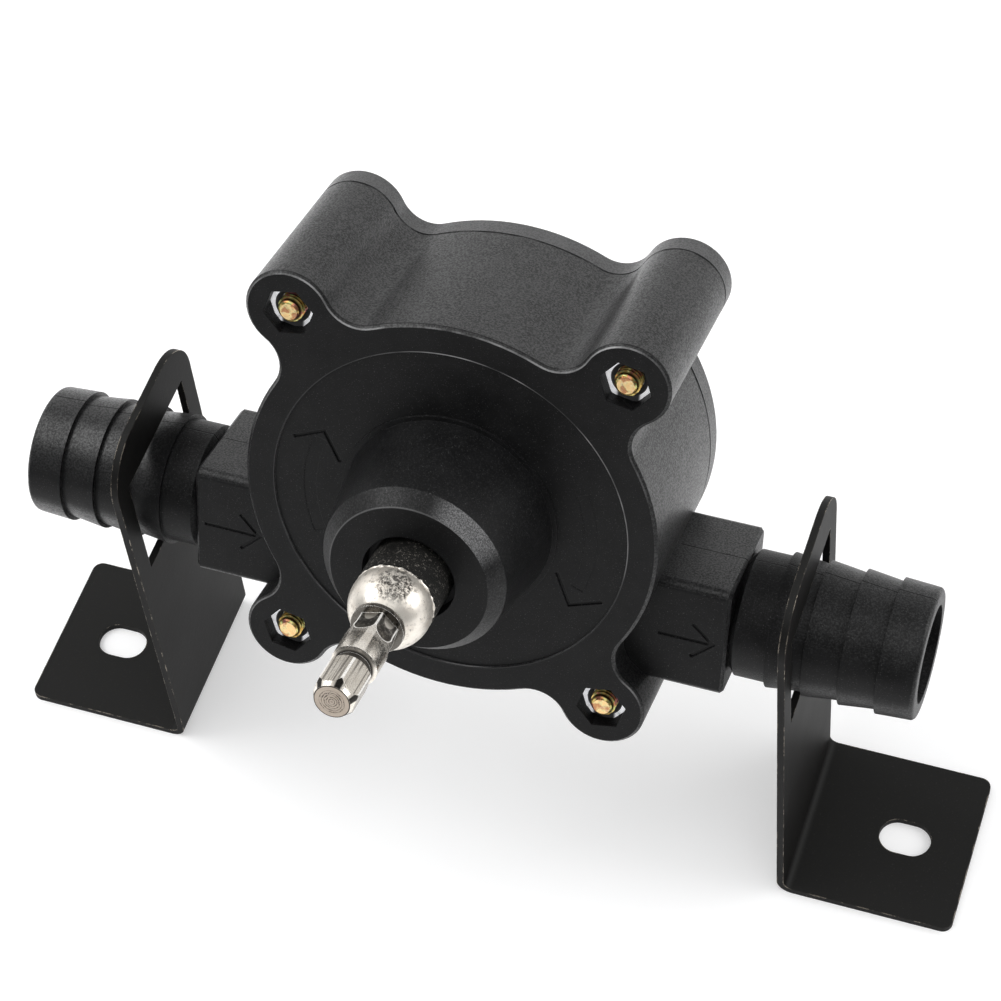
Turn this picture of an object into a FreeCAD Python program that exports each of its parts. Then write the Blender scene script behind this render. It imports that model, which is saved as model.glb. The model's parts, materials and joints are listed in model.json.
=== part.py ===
import FreeCAD, Part
import Sketcher
import math
import os

# Self-priming transfer pump that a power drill turns, standing on two angle brackets.
# World frame: origin on the floor midway between the foot slots, X along the hose line,
# front of the pump towards -Y, Z up. Lengths in millimetres, angles in degrees.

SIZES = {
    # stance
    "pumpTilt": 19.5,
    "hoseHeight": 59.5,
    # housing
    "plateRadius": 34.0,
    "pumpDepth": 34.0,
    "coverThickness": 4.0,
    "gasketThickness": 0.5,
    "gasketInset": 0.4,
    "frontWall": 7.0,
    "lugAcross": 26.9,
    "lugUp": 30.6,
    "lugRadius": 7.1,
    "lugBlend": 5.5,
    "plateEdge": 0.5,
    "panelInner": 17.9,
    "panelOuter": 29.2,
    "panelDepth": 0.35,
    # bearing boss
    "bossRoot": 17.1,
    "bossRim": 14.85,
    "bossShoulder": 15.3,
    "bossLength": 17.9,
    "bossFace": 12.75,
    "mouthRadius": 7.5,
    "mouthDepth": 3.0,
    # pump chamber
    "chamberRadius": 27.0,
    "camRadius": 24.0,
    "camAngle": 17.0,
    "camRamp": 10.0,
    # hose ports
    "shaftRise": 16.79,
    "plateToHose": 15.25,
    "blockReach": 45.1,
    "blockDepth": 20.4,
    "blockHeight": 20.2,
    "blockEdge": 1.5,
    "blockRim": 0.5,
    "neckRoot": 9.1,
    "neckRadius": 10.35,
    "neckTaper": 1.0,
    "neckLength": 6.3,
    "barbPitch": 5.93,
    "barbCrest": 11.05,
    "barbRoot": 10.35,
    "barbFall": 0.3,
    "tailLand": 6.21,
    "tailEdge": 0.8,
    "tailBore": 8.0,
    "portBore": 6.6,
    "portInner": 14.0,
    "portStepBack": 1.1,
    # screws and nuts
    "screwRadius": 2.0,
    "screwClearance": 0.25,
    "screwHead": 3.8,
    "screwHeadHeight": 2.5,
    "screwTipDepth": 0.2,
    "screwTipChamfer": 0.5,
    "driverWidth": 0.9,
    "driverSpan": 4.4,
    "driverDepth": 1.5,
    "nutFlats": 7.0,
    "nutThickness": 3.2,
    "nutRecess": 2.2,
    "nutClearance": 0.1,
    "nutTurn": -11.0,
    # ball bearing
    "shaftRadius": 4.0,
    "bearingRadius": 11.0,
    "bearingWidth": 7.0,
    "innerRace": 6.0,
    "outerRace": 9.0,
    "ballPitch": 7.5,
    "ballRadius": 1.96,
    "ballClearance": 0.06,
    "ballCount": 7,
    "cageThickness": 1.0,
    "cageWidth": 5.2,
    "shieldThickness": 0.35,
    "shieldGap": 0.35,
    "clipThickness": 1.0,
    "clipDepth": 0.7,
    "clipBand": 2.0,
    "clipSlack": 0.1,
    "clipOpeningAngle": 40.0,
    # shaft seal
    "sealWidth": 7.0,
    "sealRecess": 0.8,
    "caseWall": 0.9,
    "caseLip": 6.6,
    "lipGap": 0.04,
    "lipThickness": 1.3,
    "lipLength": 4.6,
    "garterWire": 0.45,
    # rotor
    "washerRadius": 13.0,
    "washerThickness": 0.6,
    "endGap": 0.3,
    "runningGap": 0.04,
    "hubFlats": 13.0,
    "hubFromCover": 1.9,
    "flatDepth": 0.8,
    "impellerCore": 10.5,
    "vaneCount": 6,
    "vaneGap": 0.3,
    "vaneRoot": 3.4,
    "vaneThickness": 2.4,
    "vaneTip": 1.7,
    "vaneSweep": 12.0,
    "shaftClipRadius": 6.1,
    "shaftClipThickness": 0.8,
    "shaftClipDepth": 0.5,
    # rear bush
    "bushWall": 2.0,
    "bushLength": 4.6,
    "bushInset": 0.6,
    "bushShortfall": 0.6,
    "rearBoss": 9.0,
    "rearBossLength": 4.0,
    "rearBossEdge": 0.8,
    # shaft outside the boss
    "sleeveRadius": 6.5,
    "sleeveReach": 23.8,
    "ballShoulder": 6.5,
    "ballCentre": 25.5,
    "collarStart": 30.5,
    "collarRadius": 4.2,
    "collarWidth": 0.8,
    "neckFlats": 6.0,
    "flatEnd": 33.0,
    "cutterRadius": 9.0,
    "barrelRadius": 3.6,
    "grooveStart": 41.1,
    "grooveRamp": 0.4,
    "grooveWidth": 1.3,
    "grooveRadius": 2.75,
    "shankFlats": 6.35,
    "shankTurn": 15.0,
    "shankTip": 49.6,
    "tipChamfer": 1.8,
    "tipRadius": 2.8,
    # brackets
    "legFromBarb": 3.5,
    "strapThickness": 1.2,
    "strapWidth": 30.6,
    "legTop": 20.5,
    "legCorner": 9.0,
    "ringHole": 22.8,
    "footLength": 30.3,
    "footCorner": 1.8,
    "bendRadius": 1.6,
    "slotFromLeg": 18.6,
    "slotLength": 9.0,
    "slotWidth": 6.6,
}

document = FreeCAD.newDocument("TransferPump")
sheet = document.addObject("Spreadsheet::Sheet", "sizes")
for row, (name, amount) in enumerate(SIZES.items(), start=1):
    sheet.set("A%d" % row, name)
    sheet.set("B%d" % row, str(amount))
    sheet.setAlias("B%d" % row, name)
document.recompute()

Vector = FreeCAD.Vector
Link = Sketcher.Constraint
subParts = []

# Front-view frame of the pump: origin where the shaft axis meets the front plate,
# X right, Y up along the plate, Z forwards along the shaft.
pumpPose = (
    "create(<<placement>>; create(<<vector>>; 0; "
    "sizes.shaftRise * sin(sizes.pumpTilt) - sizes.plateToHose * cos(sizes.pumpTilt); "
    "sizes.hoseHeight + sizes.shaftRise * cos(sizes.pumpTilt) + sizes.plateToHose * sin(sizes.pumpTilt)); "
    "create(<<rotation>>; create(<<vector>>; 1; 0; 0); 90 - sizes.pumpTilt))"
)
# Bracket frame: upright, origin on the hose axis
bracketPose = (
    "create(<<placement>>; create(<<vector>>; 0; 0; sizes.hoseHeight); "
    "create(<<rotation>>; create(<<vector>>; 1; 0; 0); 0))"
)

# Levels along the shaft axis
coverFace = "(sizes.coverThickness - sizes.pumpDepth)"
rimFace = "(sizes.coverThickness + sizes.gasketThickness - sizes.pumpDepth)"
bearingFront = "(sizes.bossLength - sizes.mouthDepth)"
bearingBack = "(sizes.bossLength - sizes.mouthDepth - sizes.bearingWidth)"
clipBack = "(%s - sizes.clipThickness)" % bearingBack
sealBack = "(sizes.sealRecess - sizes.frontWall)"
sealFront = "(sizes.sealRecess - sizes.frontWall + sizes.sealWidth)"
impellerFront = "(-sizes.frontWall - sizes.washerThickness - sizes.endGap)"
impellerBack = "(%s + sizes.endGap)" % coverFace
hubBack = "(%s + sizes.hubFromCover)" % coverFace
shaftClipBack = "(%s - sizes.shaftClipThickness)" % hubBack
bushFront = "(%s - sizes.bushInset)" % coverFace
bushBack = "(%s - sizes.bushLength)" % bushFront
shaftEnd = "(%s + sizes.bushShortfall)" % bushBack
bearingMiddle = "(%s - sizes.bearingWidth / 2)" % bearingFront
nutFront = "(-sizes.nutRecess)"

# Distances out along the hose line
barbStart = "(sizes.blockReach + sizes.neckLength)"
tailEnd = "(%s + 3 * sizes.barbPitch + sizes.tailLand)" % barbStart
portStep = "(sizes.blockReach - sizes.portStepBack)"
legSide = "(%s + sizes.legFromBarb)" % barbStart

margin = 1.0  # how far a cut runs past the surface that it breaks through
touching = 1e-4  # closer than this, two places count as the same


def value(expression):
    return float(sheet.evalExpression(expression.replace("sizes.", "")))


def newBody(label, pose):
    body = document.addObject("PartDesign::Body", label)
    body.Label = label
    body.setExpression("Placement", pose)
    subParts.append(body)
    return body


def originPlane(body, role):
    return [item for item in body.Origin.OriginFeatures if item.Role == role][0]


def addSketch(body, name, plane, shift=("0", "0", "0")):
    sketch = body.newObject("Sketcher::SketchObject", name)
    sketch.AttachmentSupport = [(originPlane(body, plane), "")]
    sketch.MapMode = "FlatFace"
    for axis, length in zip("xyz", shift):
        if length != "0":
            sketch.setExpression("AttachmentOffset.Base." + axis, length)
    return sketch


def bind(sketch, kind, where, expression):
    index = sketch.addConstraint(Link(kind, *where, value(expression)))
    sketch.setExpression("Constraints[%d]" % index, expression)


def pin(sketch, item, end, across, up):
    bind(sketch, "DistanceX", (-1, 1, item, end), across)
    bind(sketch, "DistanceY", (-1, 1, item, end), up)


def arcBetween(start, finish, radius, side):
    chord = finish - start
    left = Vector(-chord.y, chord.x, 0).normalize()
    reach = math.sqrt(max(radius ** 2 - (chord.Length / 2) ** 2, 0))
    centre = (start + finish) * 0.5 + left * (reach * side)
    return Part.Arc(start, centre - left * (radius * side), finish)


# A closed outline through corners given as pairs of expressions. A corner with a radius and
# a side is reached by an arc, whose centre lies left (1) or right (-1) of the way to it.
def outline(sketch, corners):
    points = [Vector(value(corner[0]), value(corner[1]), 0) for corner in corners]
    ends = []
    for index, start in enumerate(points):
        following = (index + 1) % len(points)
        bend = corners[following][2:]
        if bend:
            edge = arcBetween(start, points[following], value(bend[0]), bend[1])
        else:
            edge = Part.LineSegment(start, points[following])
        item = sketch.addGeometry(edge, False)
        near = 1 if sketch.getPoint(item, 1).distanceToPoint(start) < touching else 2
        ends.append((item, near, 3 - near))
    for index, (item, near, far) in enumerate(ends):
        following = (index + 1) % len(ends)
        sketch.addConstraint(Link("Coincident", item, far, ends[following][0], ends[following][1]))
        pin(sketch, item, near, corners[index][0], corners[index][1])
        bend = corners[following][2:]
        if bend:
            bind(sketch, "Radius", (item,), bend[0])


def circle(sketch, across, up, radius):
    centre = Vector(value(across), value(up), 0)
    item = sketch.addGeometry(Part.Circle(centre, Vector(0, 0, 1), value(radius)), False)
    pin(sketch, item, 3, across, up)
    bind(sketch, "Radius", (item,), radius)


def rectangle(sketch, left, right, bottom, top):
    outline(sketch, [(left, bottom), (right, bottom), (right, top), (left, top)])


def hexagon(sketch, across, up, flats, turn="0"):
    corners = []
    for corner in range(6):
        angle = "(%d + %s)" % (60 * corner, turn)
        corners.append(("%s + %s / sqrt(3) * cos(%s)" % (across, flats, angle),
                        "%s + %s / sqrt(3) * sin(%s)" % (up, flats, angle)))
    outline(sketch, corners)


def roundedRectangle(sketch, width, height, corner):
    right, top = "%s / 2" % width, "%s / 2" % height
    inRight, inTop = "(%s - %s)" % (right, corner), "(%s - %s)" % (top, corner)
    outline(sketch, [
        (inRight, "-" + top),
        (right, "-" + inTop, corner, 1),
        (right, inTop),
        (inRight, top, corner, 1),
        ("-" + inRight, top),
        ("-" + right, inTop, corner, 1),
        ("-" + right, "-" + inTop),
        ("-" + inRight, "-" + top, corner, 1),
    ])


def pad(body, name, sketch, length, back=False, middle=False):
    feature = body.newObject("PartDesign::Pad", name)
    feature.Profile = sketch
    feature.setExpression("Length", length)
    feature.Reversed = back
    if middle:
        feature.SideType = "Symmetric"
    document.recompute()
    return feature


# Every cut is checked: it must take material away
def checkedCut(body, feature, before):
    document.recompute()
    if body.Shape.Volume >= before - touching:
        raise RuntimeError("%s %s cuts nothing" % (body.Label, feature.Label))
    return feature


def pocket(body, name, sketch, length=None, back=False, middle=False):
    before = body.Shape.Volume
    feature = body.newObject("PartDesign::Pocket", name)
    feature.Profile = sketch
    if length:
        feature.setExpression("Length", length)
    else:
        feature.Type = "ThroughAll"
    feature.Reversed = back
    if middle:
        feature.SideType = "Symmetric"
    return checkedCut(body, feature, before)


def spin(body, kind, name, sketch, axis):
    before = body.Shape.Volume if kind == "Groove" else 0
    feature = body.newObject("PartDesign::" + kind, name)
    feature.Profile = sketch
    feature.ReferenceAxis = (sketch, [axis])
    feature.Angle = 360
    if kind == "Groove":
        return checkedCut(body, feature, before)
    document.recompute()
    return feature


def mirror(body, name, originals, plane):
    feature = body.newObject("PartDesign::Mirrored", name)
    feature.Originals = originals
    feature.MirrorPlane = (originPlane(body, plane), [""])
    body.Tip = feature
    document.recompute()
    return feature


def toFourCorners(body, name, originals):
    feature = body.newObject("PartDesign::MultiTransform", name)
    across = body.newObject("PartDesign::Mirrored", name + "Across")
    across.MirrorPlane = (originPlane(body, "YZ_Plane"), [""])
    upright = body.newObject("PartDesign::Mirrored", name + "Upright")
    upright.MirrorPlane = (originPlane(body, "XZ_Plane"), [""])
    feature.Originals = originals
    feature.Transformations = [across, upright]
    body.Tip = feature
    document.recompute()
    return feature


def ringPattern(body, name, originals, count):
    feature = body.newObject("PartDesign::PolarPattern", name)
    feature.Originals = originals
    feature.Axis = ([item for item in body.Origin.OriginFeatures if item.Role == "Z_Axis"][0], [""])
    feature.Angle = 360
    feature.setExpression("Occurrences", count)
    body.Tip = feature
    document.recompute()
    return feature


# Rounds or bevels the edges of the finished shape that the test picks
def dressEdges(body, kind, name, amount, picks):
    frame = body.Placement.inverse()
    names = []
    for index, edge in enumerate(body.Shape.Edges, start=1):
        points = [frame.multVec(point) for point in edge.discretize(5)]
        if all(picks(point) for point in points):
            names.append("Edge%d" % index)
    if not names:
        raise RuntimeError("%s %s finds no edge" % (body.Label, name))
    base = body.Tip
    feature = body.newObject("PartDesign::" + kind, name)
    feature.Base = (base, names)
    feature.setExpression("Radius" if kind == "Fillet" else "Size", amount)
    document.recompute()
    return feature


# A turned piece on the shaft axis, from its half profile (radius, level)
def turned(label, corners):
    body = newBody(label, pumpPose)
    sketch = addSketch(body, label + "Profile", "XZ_Plane")
    outline(sketch, corners)
    spin(body, "Revolution", label + "Turn", sketch, "V_Axis")
    return body


def ring(label, inner, outer, front, back):
    return turned(label, [(inner, back), (outer, back), (outer, front), (inner, front)])


# One lug with its two blends to the round wall, as drawn on the front plate
def lugSketch(body, name, level, inset="0"):
    sketch = addSketch(body, name, "XY_Plane", ("0", "0", level))
    wallSize = "(sizes.plateRadius - %s)" % inset
    lugSize = "(sizes.lugRadius - %s)" % inset
    blendSize = "(sizes.lugBlend + %s)" % inset
    wall, lug, blend = value(wallSize), value(lugSize), value(blendSize)
    lugCentre = Vector(value("sizes.lugAcross"), value("sizes.lugUp"), 0)
    distance = lugCentre.Length
    along = ((wall + blend) ** 2 - (lug + blend) ** 2 + distance ** 2) / (2 * distance)
    aside = math.sqrt((wall + blend) ** 2 - along ** 2)
    outward = lugCentre * (1 / distance)
    sideways = Vector(-outward.y, outward.x, 0)
    blendCentres = [outward * along - sideways * aside, outward * along + sideways * aside]
    wallPoints = [centre * (wall / (wall + blend)) for centre in blendCentres]
    lugPoints = [lugCentre + (centre - lugCentre) * (lug / (lug + blend)) for centre in blendCentres]
    middle = Vector(0, 0, 0)
    sketch.addGeometry(Part.LineSegment(middle, wallPoints[0]), False)
    sketch.addGeometry(arcBetween(wallPoints[0], lugPoints[0], blend, -1), False)
    lugTop = lugCentre + outward * lug
    sketch.addGeometry(Part.Arc(lugPoints[0], lugTop, lugPoints[1]), False)
    sketch.addGeometry(arcBetween(lugPoints[1], wallPoints[1], blend, -1), False)
    sketch.addGeometry(Part.LineSegment(wallPoints[1], middle), False)
    sketch.addConstraint(Link("Coincident", 0, 1, -1, 1))
    sketch.addConstraint(Link("Coincident", 4, 2, -1, 1))
    sketch.addConstraint(Link("Coincident", 0, 2, 1, 2))
    sketch.addConstraint(Link("Tangent", 1, 1, 2, 1))
    sketch.addConstraint(Link("Tangent", 2, 2, 3, 2))
    sketch.addConstraint(Link("Coincident", 3, 1, 4, 1))
    sketch.addConstraint(Link("PointOnObject", 1, 3, 0))
    sketch.addConstraint(Link("PointOnObject", 3, 3, 4))
    bind(sketch, "Distance", (0,), wallSize)
    bind(sketch, "Distance", (4,), wallSize)
    bind(sketch, "Radius", (1,), blendSize)
    bind(sketch, "Radius", (3,), blendSize)
    bind(sketch, "Radius", (2,), lugSize)
    pin(sketch, 2, 3, "sizes.lugAcross", "sizes.lugUp")
    return sketch


# Round plate with four lugs, from one level backwards by a thickness
def flange(body, level, thickness, inset="0"):
    disc = addSketch(body, "disc", "XY_Plane", ("0", "0", level))
    circle(disc, "0", "0", "sizes.plateRadius - %s" % inset)
    pad(body, "discPad", disc, thickness, back=True)
    lug = pad(body, "lugPad", lugSketch(body, "lug", level, inset), thickness, back=True)
    hole = addSketch(body, "screwHole", "XY_Plane", ("0", "0", level))
    circle(hole, "sizes.lugAcross", "sizes.lugUp", "sizes.screwRadius + sizes.screwClearance")
    return [lug, pocket(body, "screwHolePocket", hole)]


# Pump chamber outline with the cam between the two ports
def chamberOutline(sketch):
    def polar(radius, angle):
        return "%s * cos(%s)" % (radius, angle), "%s * sin(%s)" % (radius, angle)
    rightRamp = "(sizes.camAngle + sizes.camRamp - 90)"
    leftRamp = "(-90 - sizes.camAngle - sizes.camRamp)"
    outline(sketch, [
        polar("sizes.chamberRadius", rightRamp),
        ("0", "sizes.chamberRadius", "sizes.chamberRadius", 1),
        polar("sizes.chamberRadius", leftRamp) + ("sizes.chamberRadius", 1),
        polar("sizes.camRadius", "(-90 - sizes.camAngle)"),
        polar("sizes.camRadius", "(sizes.camAngle - 90)") + ("sizes.camRadius", 1),
    ])


# Half profile of a hose tail along X: neck, four barbs that face the pump, rounded end
def tailOutline(sketch):
    corners = [("sizes.blockReach", "0"), ("sizes.blockReach", "sizes.neckRoot"),
               ("sizes.blockReach + sizes.neckTaper", "sizes.neckRadius")]
    for barb in range(4):
        shoulder = "(%s + %d * sizes.barbPitch)" % (barbStart, barb)
        foot = "sizes.neckRadius" if barb == 0 else "sizes.barbRoot"
        corners.append((shoulder, foot))
        corners.append((shoulder, "sizes.barbCrest"))
    corners.append((tailEnd + " - sizes.tailEdge", "sizes.barbCrest - sizes.barbFall"))
    corners.append((tailEnd, "sizes.barbCrest - sizes.barbFall - sizes.tailEdge", "sizes.tailEdge", -1))
    corners.append((tailEnd, "0"))
    outline(sketch, corners)


def makeCasing():
    body = newBody("pump_casing", pumpPose)
    depth = "(-%s)" % rimFace
    cornerFeatures = flange(body, "0", depth)
    nutSeat = addSketch(body, "nutSeat", "XY_Plane")
    hexagon(nutSeat, "sizes.lugAcross", "sizes.lugUp", "(sizes.nutFlats + 2 * sizes.nutClearance)", "sizes.nutTurn")
    cornerFeatures.append(pocket(body, "nutPocket", nutSeat, "sizes.nutRecess + sizes.nutThickness"))
    toFourCorners(body, "corners", cornerFeatures)

    boss = addSketch(body, "boss", "XZ_Plane")
    outline(boss, [("0", "-sizes.frontWall / 2"), ("sizes.bossRoot", "-sizes.frontWall / 2"),
                   ("sizes.bossRoot", "0"), ("sizes.bossRim", "sizes.bossShoulder"),
                   ("sizes.bossFace", "sizes.bossLength"), ("0", "sizes.bossLength")])
    spin(body, "Revolution", "bossTurn", boss, "V_Axis")

    onHoseAxis = ("-sizes.shaftRise", "-sizes.plateToHose", "0")
    block = addSketch(body, "portBlock", "YZ_Plane", onHoseAxis)
    roundedRectangle(block, "sizes.blockHeight", "sizes.blockDepth", "sizes.blockEdge")
    pad(body, "portBlockPad", block, "2 * sizes.blockReach", middle=True)
    hosePlane = ("0", "-sizes.shaftRise", "-sizes.plateToHose")
    tail = addSketch(body, "hoseTail", "XY_Plane", hosePlane)
    tailOutline(tail)
    tailTurn = spin(body, "Revolution", "hoseTailTurn", tail, "H_Axis")
    mirror(body, "hoseTails", [tailTurn], "YZ_Plane")

    chamber = addSketch(body, "chamber", "XY_Plane", ("0", "0", "-sizes.frontWall"))
    chamberOutline(chamber)
    pocket(body, "chamberPocket", chamber)
    port = addSketch(body, "port", "XY_Plane", hosePlane)
    beyond = "%s + %s" % (tailEnd, margin)
    outline(port, [("sizes.portInner", "0"), ("sizes.portInner", "sizes.portBore"),
                   (portStep, "sizes.portBore"),
                   (portStep + " + sizes.tailBore - sizes.portBore", "sizes.tailBore"),
                   (beyond, "sizes.tailBore"), (beyond, "0")])
    portCut = spin(body, "Groove", "portCut", port, "H_Axis")
    mirror(body, "ports", [portCut], "YZ_Plane")

    bore = addSketch(body, "bossBore", "XZ_Plane")
    clipSeat = "(%s - sizes.clipSlack)" % clipBack
    above, below = "sizes.bossLength + %s" % margin, "-sizes.frontWall - %s" % margin
    outline(bore, [("0", above), ("0", below),
                   ("sizes.bearingRadius", below), ("sizes.bearingRadius", clipSeat),
                   ("sizes.bearingRadius + sizes.clipDepth", clipSeat),
                   ("sizes.bearingRadius + sizes.clipDepth", bearingBack),
                   ("sizes.bearingRadius", bearingBack), ("sizes.bearingRadius", bearingFront),
                   ("sizes.mouthRadius", bearingFront), ("sizes.mouthRadius", above)])
    spin(body, "Groove", "bossBoreCut", bore, "V_Axis")
    panel = addSketch(body, "frontPanel", "XY_Plane")
    circle(panel, "0", "0", "sizes.panelOuter")
    circle(panel, "0", "0", "sizes.panelInner")
    pocket(body, "frontPanelPocket", panel, "sizes.panelDepth")

    outer = value("sizes.panelOuter") + margin
    dressEdges(body, "Chamfer", "plateBevel", "sizes.plateEdge",
               lambda point: abs(point.z) < touching and math.hypot(point.x, point.y) > outer
               and not nearNut(point))
    end = value("sizes.blockReach")
    neck = value("sizes.neckRoot") + touching
    hoseUp, hoseBack = -value("sizes.shaftRise"), -value("sizes.plateToHose")
    dressEdges(body, "Chamfer", "blockBevel", "sizes.blockRim",
               lambda point: abs(abs(point.x) - end) < touching
               and math.hypot(point.y - hoseUp, point.z - hoseBack) > neck)


def nearNut(point):
    across = abs(point.x) - value("sizes.lugAcross")
    up = abs(point.y) - value("sizes.lugUp")
    return math.hypot(across, up) < value("sizes.lugRadius") - margin


def makeCover():
    body = newBody("rear_cover", pumpPose)
    toFourCorners(body, "corners", flange(body, coverFace, "sizes.coverThickness"))
    boss = addSketch(body, "rearBoss", "XY_Plane", ("0", "0", "-sizes.pumpDepth"))
    circle(boss, "0", "0", "sizes.rearBoss")
    pad(body, "rearBossPad", boss, "sizes.rearBossLength", back=True)
    seat = addSketch(body, "bushSeat", "XY_Plane", ("0", "0", coverFace))
    circle(seat, "0", "0", "sizes.shaftRadius + sizes.bushWall")
    pocket(body, "bushSeatPocket", seat, "sizes.bushInset + sizes.bushLength")
    back = -value("sizes.pumpDepth")
    dressEdges(body, "Chamfer", "coverBevel", "sizes.plateEdge",
               lambda point: abs(point.z - back) < touching and not nearNut(point)
               and math.hypot(point.x, point.y) > value("sizes.rearBoss") + margin)
    bossBack = value("-(sizes.pumpDepth + sizes.rearBossLength)")
    dressEdges(body, "Chamfer", "bossBevel", "sizes.rearBossEdge",
               lambda point: abs(point.z - bossBack) < touching)


def makeGasket():
    body = newBody("cover_gasket", pumpPose)
    toFourCorners(body, "corners", flange(body, rimFace, "sizes.gasketThickness", "sizes.gasketInset"))
    opening = addSketch(body, "opening", "XY_Plane", ("0", "0", rimFace))
    circle(opening, "0", "0", "sizes.chamberRadius")
    pocket(body, "openingPocket", opening)


def makeScrews():
    body = newBody("cover_screws", pumpPose)
    body.AllowCompound = True
    shift = ("sizes.lugAcross", "0", "-sizes.lugUp")
    profile = addSketch(body, "screw", "XZ_Plane", shift)
    headBack = "-(sizes.pumpDepth + sizes.screwHeadHeight)"
    tip = "-sizes.screwTipDepth"
    outline(profile, [("0", headBack), ("sizes.screwHead * 0.6", headBack),
                      ("sizes.screwHead", "-sizes.pumpDepth", "sizes.screwHead", 1),
                      ("sizes.screwRadius", "-sizes.pumpDepth"),
                      ("sizes.screwRadius", tip + " - sizes.screwTipChamfer"),
                      ("sizes.screwRadius - sizes.screwTipChamfer", tip), ("0", tip)])
    screw = spin(body, "Revolution", "screwTurn", profile, "V_Axis")
    cuts = []
    for index in range(2):
        slot = addSketch(body, "driverSlot%d" % index, "XY_Plane", ("sizes.lugAcross", "sizes.lugUp", headBack))
        long, short = "sizes.driverSpan / 2", "sizes.driverWidth / 2"
        if index:
            long, short = short, long
        rectangle(slot, "-" + long, long, "-" + short, short)
        cuts.append(pocket(body, "driverSlotPocket%d" % index, slot, "sizes.driverDepth", back=True))
    toFourCorners(body, "corners", [screw] + cuts)


def makeNuts():
    body = newBody("lug_nuts", pumpPose)
    body.AllowCompound = True
    shape = addSketch(body, "nut", "XY_Plane", ("0", "0", nutFront))
    hexagon(shape, "sizes.lugAcross", "sizes.lugUp", "sizes.nutFlats", "sizes.nutTurn")
    nut = pad(body, "nutPad", shape, "sizes.nutThickness", back=True)
    hole = addSketch(body, "nutHole", "XY_Plane", ("0", "0", nutFront))
    circle(hole, "sizes.lugAcross", "sizes.lugUp", "sizes.screwRadius")
    threaded = pocket(body, "nutHolePocket", hole)
    corner = addSketch(body, "nutCorner", "XZ_Plane", ("sizes.lugAcross", "0", "-sizes.lugUp"))
    rim = "sizes.nutFlats / 2"
    outline(corner, [(rim + " + 0.1", nutFront + " + 0.1"), (rim + " + 0.9", nutFront + " + 0.1"),
                     (rim + " + 0.9", nutFront + " - 0.4")])
    bevel = spin(body, "Groove", "nutCornerCut", corner, "V_Axis")
    toFourCorners(body, "corners", [nut, threaded, bevel])


def makeBearing():
    groove = "(sizes.ballRadius + sizes.ballClearance)"
    halfWidth = "sizes.bearingWidth / 2"
    chord = "sqrt(%s ^ 2 - (sizes.ballPitch - %s) ^ 2)"
    innerHalf = chord % (groove, "sizes.innerRace")
    outerHalf = chord % (groove, "sizes.outerRace")
    turned("bearing_inner_race", [
        ("sizes.shaftRadius", bearingBack), ("sizes.innerRace", bearingBack),
        ("sizes.innerRace", "%s - %s" % (bearingMiddle, innerHalf)),
        ("sizes.innerRace", "%s + %s" % (bearingMiddle, innerHalf), groove, -1),
        ("sizes.innerRace", bearingFront), ("sizes.shaftRadius", bearingFront)])
    turned("bearing_outer_race", [
        ("sizes.bearingRadius", bearingFront), ("sizes.outerRace", bearingFront),
        ("sizes.outerRace", "%s + %s" % (bearingMiddle, outerHalf)),
        ("sizes.outerRace", "%s - %s" % (bearingMiddle, outerHalf), groove, -1),
        ("sizes.outerRace", bearingBack), ("sizes.bearingRadius", bearingBack)])

    balls = newBody("bearing_balls", pumpPose)
    balls.AllowCompound = True
    half = addSketch(balls, "ball", "XZ_Plane", ("sizes.ballPitch", bearingMiddle, "0"))
    outline(half, [("0", "-sizes.ballRadius"), ("sizes.ballRadius", "0", "sizes.ballRadius", 1),
                   ("0", "sizes.ballRadius", "sizes.ballRadius", 1)])
    ball = spin(balls, "Revolution", "ballTurn", half, "V_Axis")
    ringPattern(balls, "ballRing", [ball], "sizes.ballCount")

    cage = newBody("bearing_cage", pumpPose)
    band = addSketch(cage, "band", "XZ_Plane", ("sizes.ballPitch", bearingMiddle, "0"))
    rectangle(band, "-sizes.cageThickness / 2", "sizes.cageThickness / 2",
              "-sizes.cageWidth / 2", "sizes.cageWidth / 2")
    turn = cage.newObject("PartDesign::Revolution", "bandTurn")
    turn.Profile = band
    turn.ReferenceAxis = ([item for item in cage.Origin.OriginFeatures if item.Role == "Z_Axis"][0], [""])
    turn.Angle = 360
    document.recompute()
    seat = addSketch(cage, "ballSeat", "YZ_Plane")
    circle(seat, "0", bearingMiddle, groove)
    seatCut = pocket(cage, "ballSeatPocket", seat, back=True)
    ringPattern(cage, "ballSeats", [seatCut], "sizes.ballCount")

    shields = newBody("bearing_shields", pumpPose)
    shields.AllowCompound = True
    shield = addSketch(shields, "shield", "XZ_Plane", ("0", bearingMiddle, "0"))
    rectangle(shield, "sizes.innerRace + sizes.shieldGap", "sizes.outerRace",
              halfWidth + " - sizes.shieldThickness", halfWidth)
    rectangle(shield, "sizes.innerRace + sizes.shieldGap", "sizes.outerRace",
              "-" + halfWidth, "sizes.shieldThickness - " + halfWidth)
    spin(shields, "Revolution", "shieldTurn", shield, "V_Axis")


# Open ring: a band with a gap of the given angle at the top
def openRing(label, inner, outer, front, back, opening):
    body = ring(label, inner, outer, front, back)
    gap = addSketch(body, "gap", "XY_Plane", ("0", "0", front))
    reach = "(2 * %s)" % outer
    outline(gap, [("0", "0"), ("%s * sin(%s / 2)" % (reach, opening), "%s * cos(%s / 2)" % (reach, opening)),
                  ("-%s * sin(%s / 2)" % (reach, opening), "%s * cos(%s / 2)" % (reach, opening))])
    pocket(body, "gapPocket", gap)
    return body


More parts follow.
